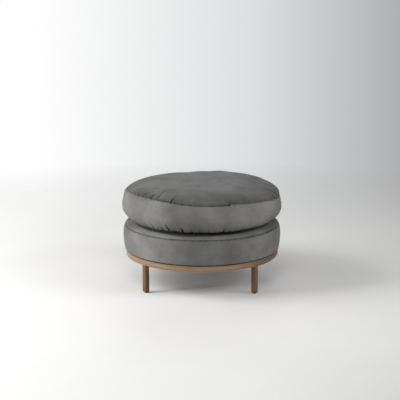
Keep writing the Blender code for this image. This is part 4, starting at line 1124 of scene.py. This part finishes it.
def camera():
    ahead = Vector((-math.cos(CAMERA_AZIMUTH), -math.sin(CAMERA_AZIMUTH), 0.0))
    right = Vector((ahead.y, -ahead.x, 0.0))
    data = bpy.data.cameras.new("camera")
    data.sensor_fit = "HORIZONTAL"
    data.sensor_width = SENSOR_WIDTH_MM
    data.lens = CAMERA_FOCAL_PIXELS / PICTURE_PIXELS * SENSOR_WIDTH_MM
    data.clip_start, data.clip_end = 0.1, 50.0
    cam = new_piece("camera", data)
    cam.location = right * CAMERA_SIDESTEP - ahead * CAMERA_DISTANCE + Vector((0, 0, CAMERA_HEIGHT))
    look = ahead * math.cos(CAMERA_PITCH) - Vector((0, 0, math.sin(CAMERA_PITCH)))
    cam.rotation_mode = "QUATERNION"
    cam.rotation_quaternion = look.to_track_quat("-Z", "Y") @ Quaternion((0, 0, 1), CAMERA_ROLL)
    bpy.context.scene.camera = cam


# The whole stool


def show(piece, material, body, slot, *nodes):
    """Dresses a piece, hangs it on its body and hides the nodes that it stands in for. Its slot is not used.
    """
    dress(piece, material)
    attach(piece, body)
    if nodes:
        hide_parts(*nodes)
    return piece


def build():
    fabric = velvet()
    cushion = show(cushion_cover(), fabric, "cushion", "velvet", "cushion_top_panel", "cushion_bottom_panel",
                   "cushion_border_front", "cushion_border_above_zip", "cushion_border_below_zip")
    drum = show(drum_cover(), fabric, "base", "velvet", "base_cover_top", "base_cover_side")
    cambric = plain_cloth("cambric", (0.70, 0.69, 0.66), (0.86, 0.85, 0.82), 1200.0)
    foam = plain_cloth("foam", (0.66, 0.61, 0.42), (0.82, 0.78, 0.60), 500.0)
    wadding = plain_cloth("wadding", (0.74, 0.74, 0.72), (0.88, 0.88, 0.86), 160.0)
    for piece in (show(cushion_insert(), cambric, "cushion", "cambric", "cushion_pad"),
                  show(seat_foam(), foam, "base", "foam", "seat_foam"),
                  show(side_wadding(), wadding, "base", "wadding", "side_wadding")):
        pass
    teeth = plain_cloth("zip_teeth_nylon", 0.045, 0.075, 900.0, 0.35)
    thread = plain_cloth("grey_thread", (0.10, 0.10, 0.098), (0.17, 0.168, 0.163), 2500.0)
    show(zip_teeth("zip_teeth_upper", 1), teeth, "cushion", "nylon")
    show(zip_teeth("zip_teeth_lower", -1), teeth, "cushion", "nylon")
    show(zip_stitching(), thread, "cushion", "velvet")
    lining, width = dust_cover_cloth()
    black = woven("black_lining", 0.01, 0.03, 0.8 * MM)
    show(lining, black, "base", "lining", "dust_cover")
    ring_oak = oak("ring_oak", (7, 60, 1), (1.18, 1.2, 1.18), "around")
    show(timber_ring(), ring_oak, "base", "oak", "plinth_ring")
    node_materials()


def node_materials():
    ply = plywood()
    steel = metal("zinc_steel", (0.45, 0.44, 0.42), (0.66, 0.64, 0.60), 0.3)
    nickel = metal("dark_nickel", 0.14, 0.26, 0.25)
    kinds = {"leg_": oak("leg_oak", (60, 60, 7), (0.66, 0.63, 0.56)), "glide_": nylon(),
             "lower_frame": ply, "upper_frame": ply, "frame_post": ply,
             "frame_band": plain_cloth("hardboard", (0.22, 0.13, 0.07), (0.33, 0.21, 0.12), 120.0, 0.7),
             "plinth_screw": steel, "web_": woven("jute", (0.20, 0.14, 0.08), (0.46, 0.36, 0.23), 2.2 * MM),
             "zip_tape": woven("zip_tape", 0.05, 0.13, 0.7 * MM),
             "zip_slider": nickel, "zip_pull": nickel}
    for name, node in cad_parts.items():
        for start, material in kinds.items():
            if name.startswith(start):
                dress(node, material)
        if name.startswith(("leg_", "zip_slider", "zip_pull")):
            ease = node.modifiers.new("eased_edges", "BEVEL")
            ease.width = LEG_EASE if name.startswith("leg_") else ZIP_EASE
            ease.segments = 2
            ease.limit_method = "ANGLE"
            ease.angle_limit = EASE_ANGLE


bpy.context.scene.view_settings.view_transform = "Standard"
camera()
stage()
lights()
build()
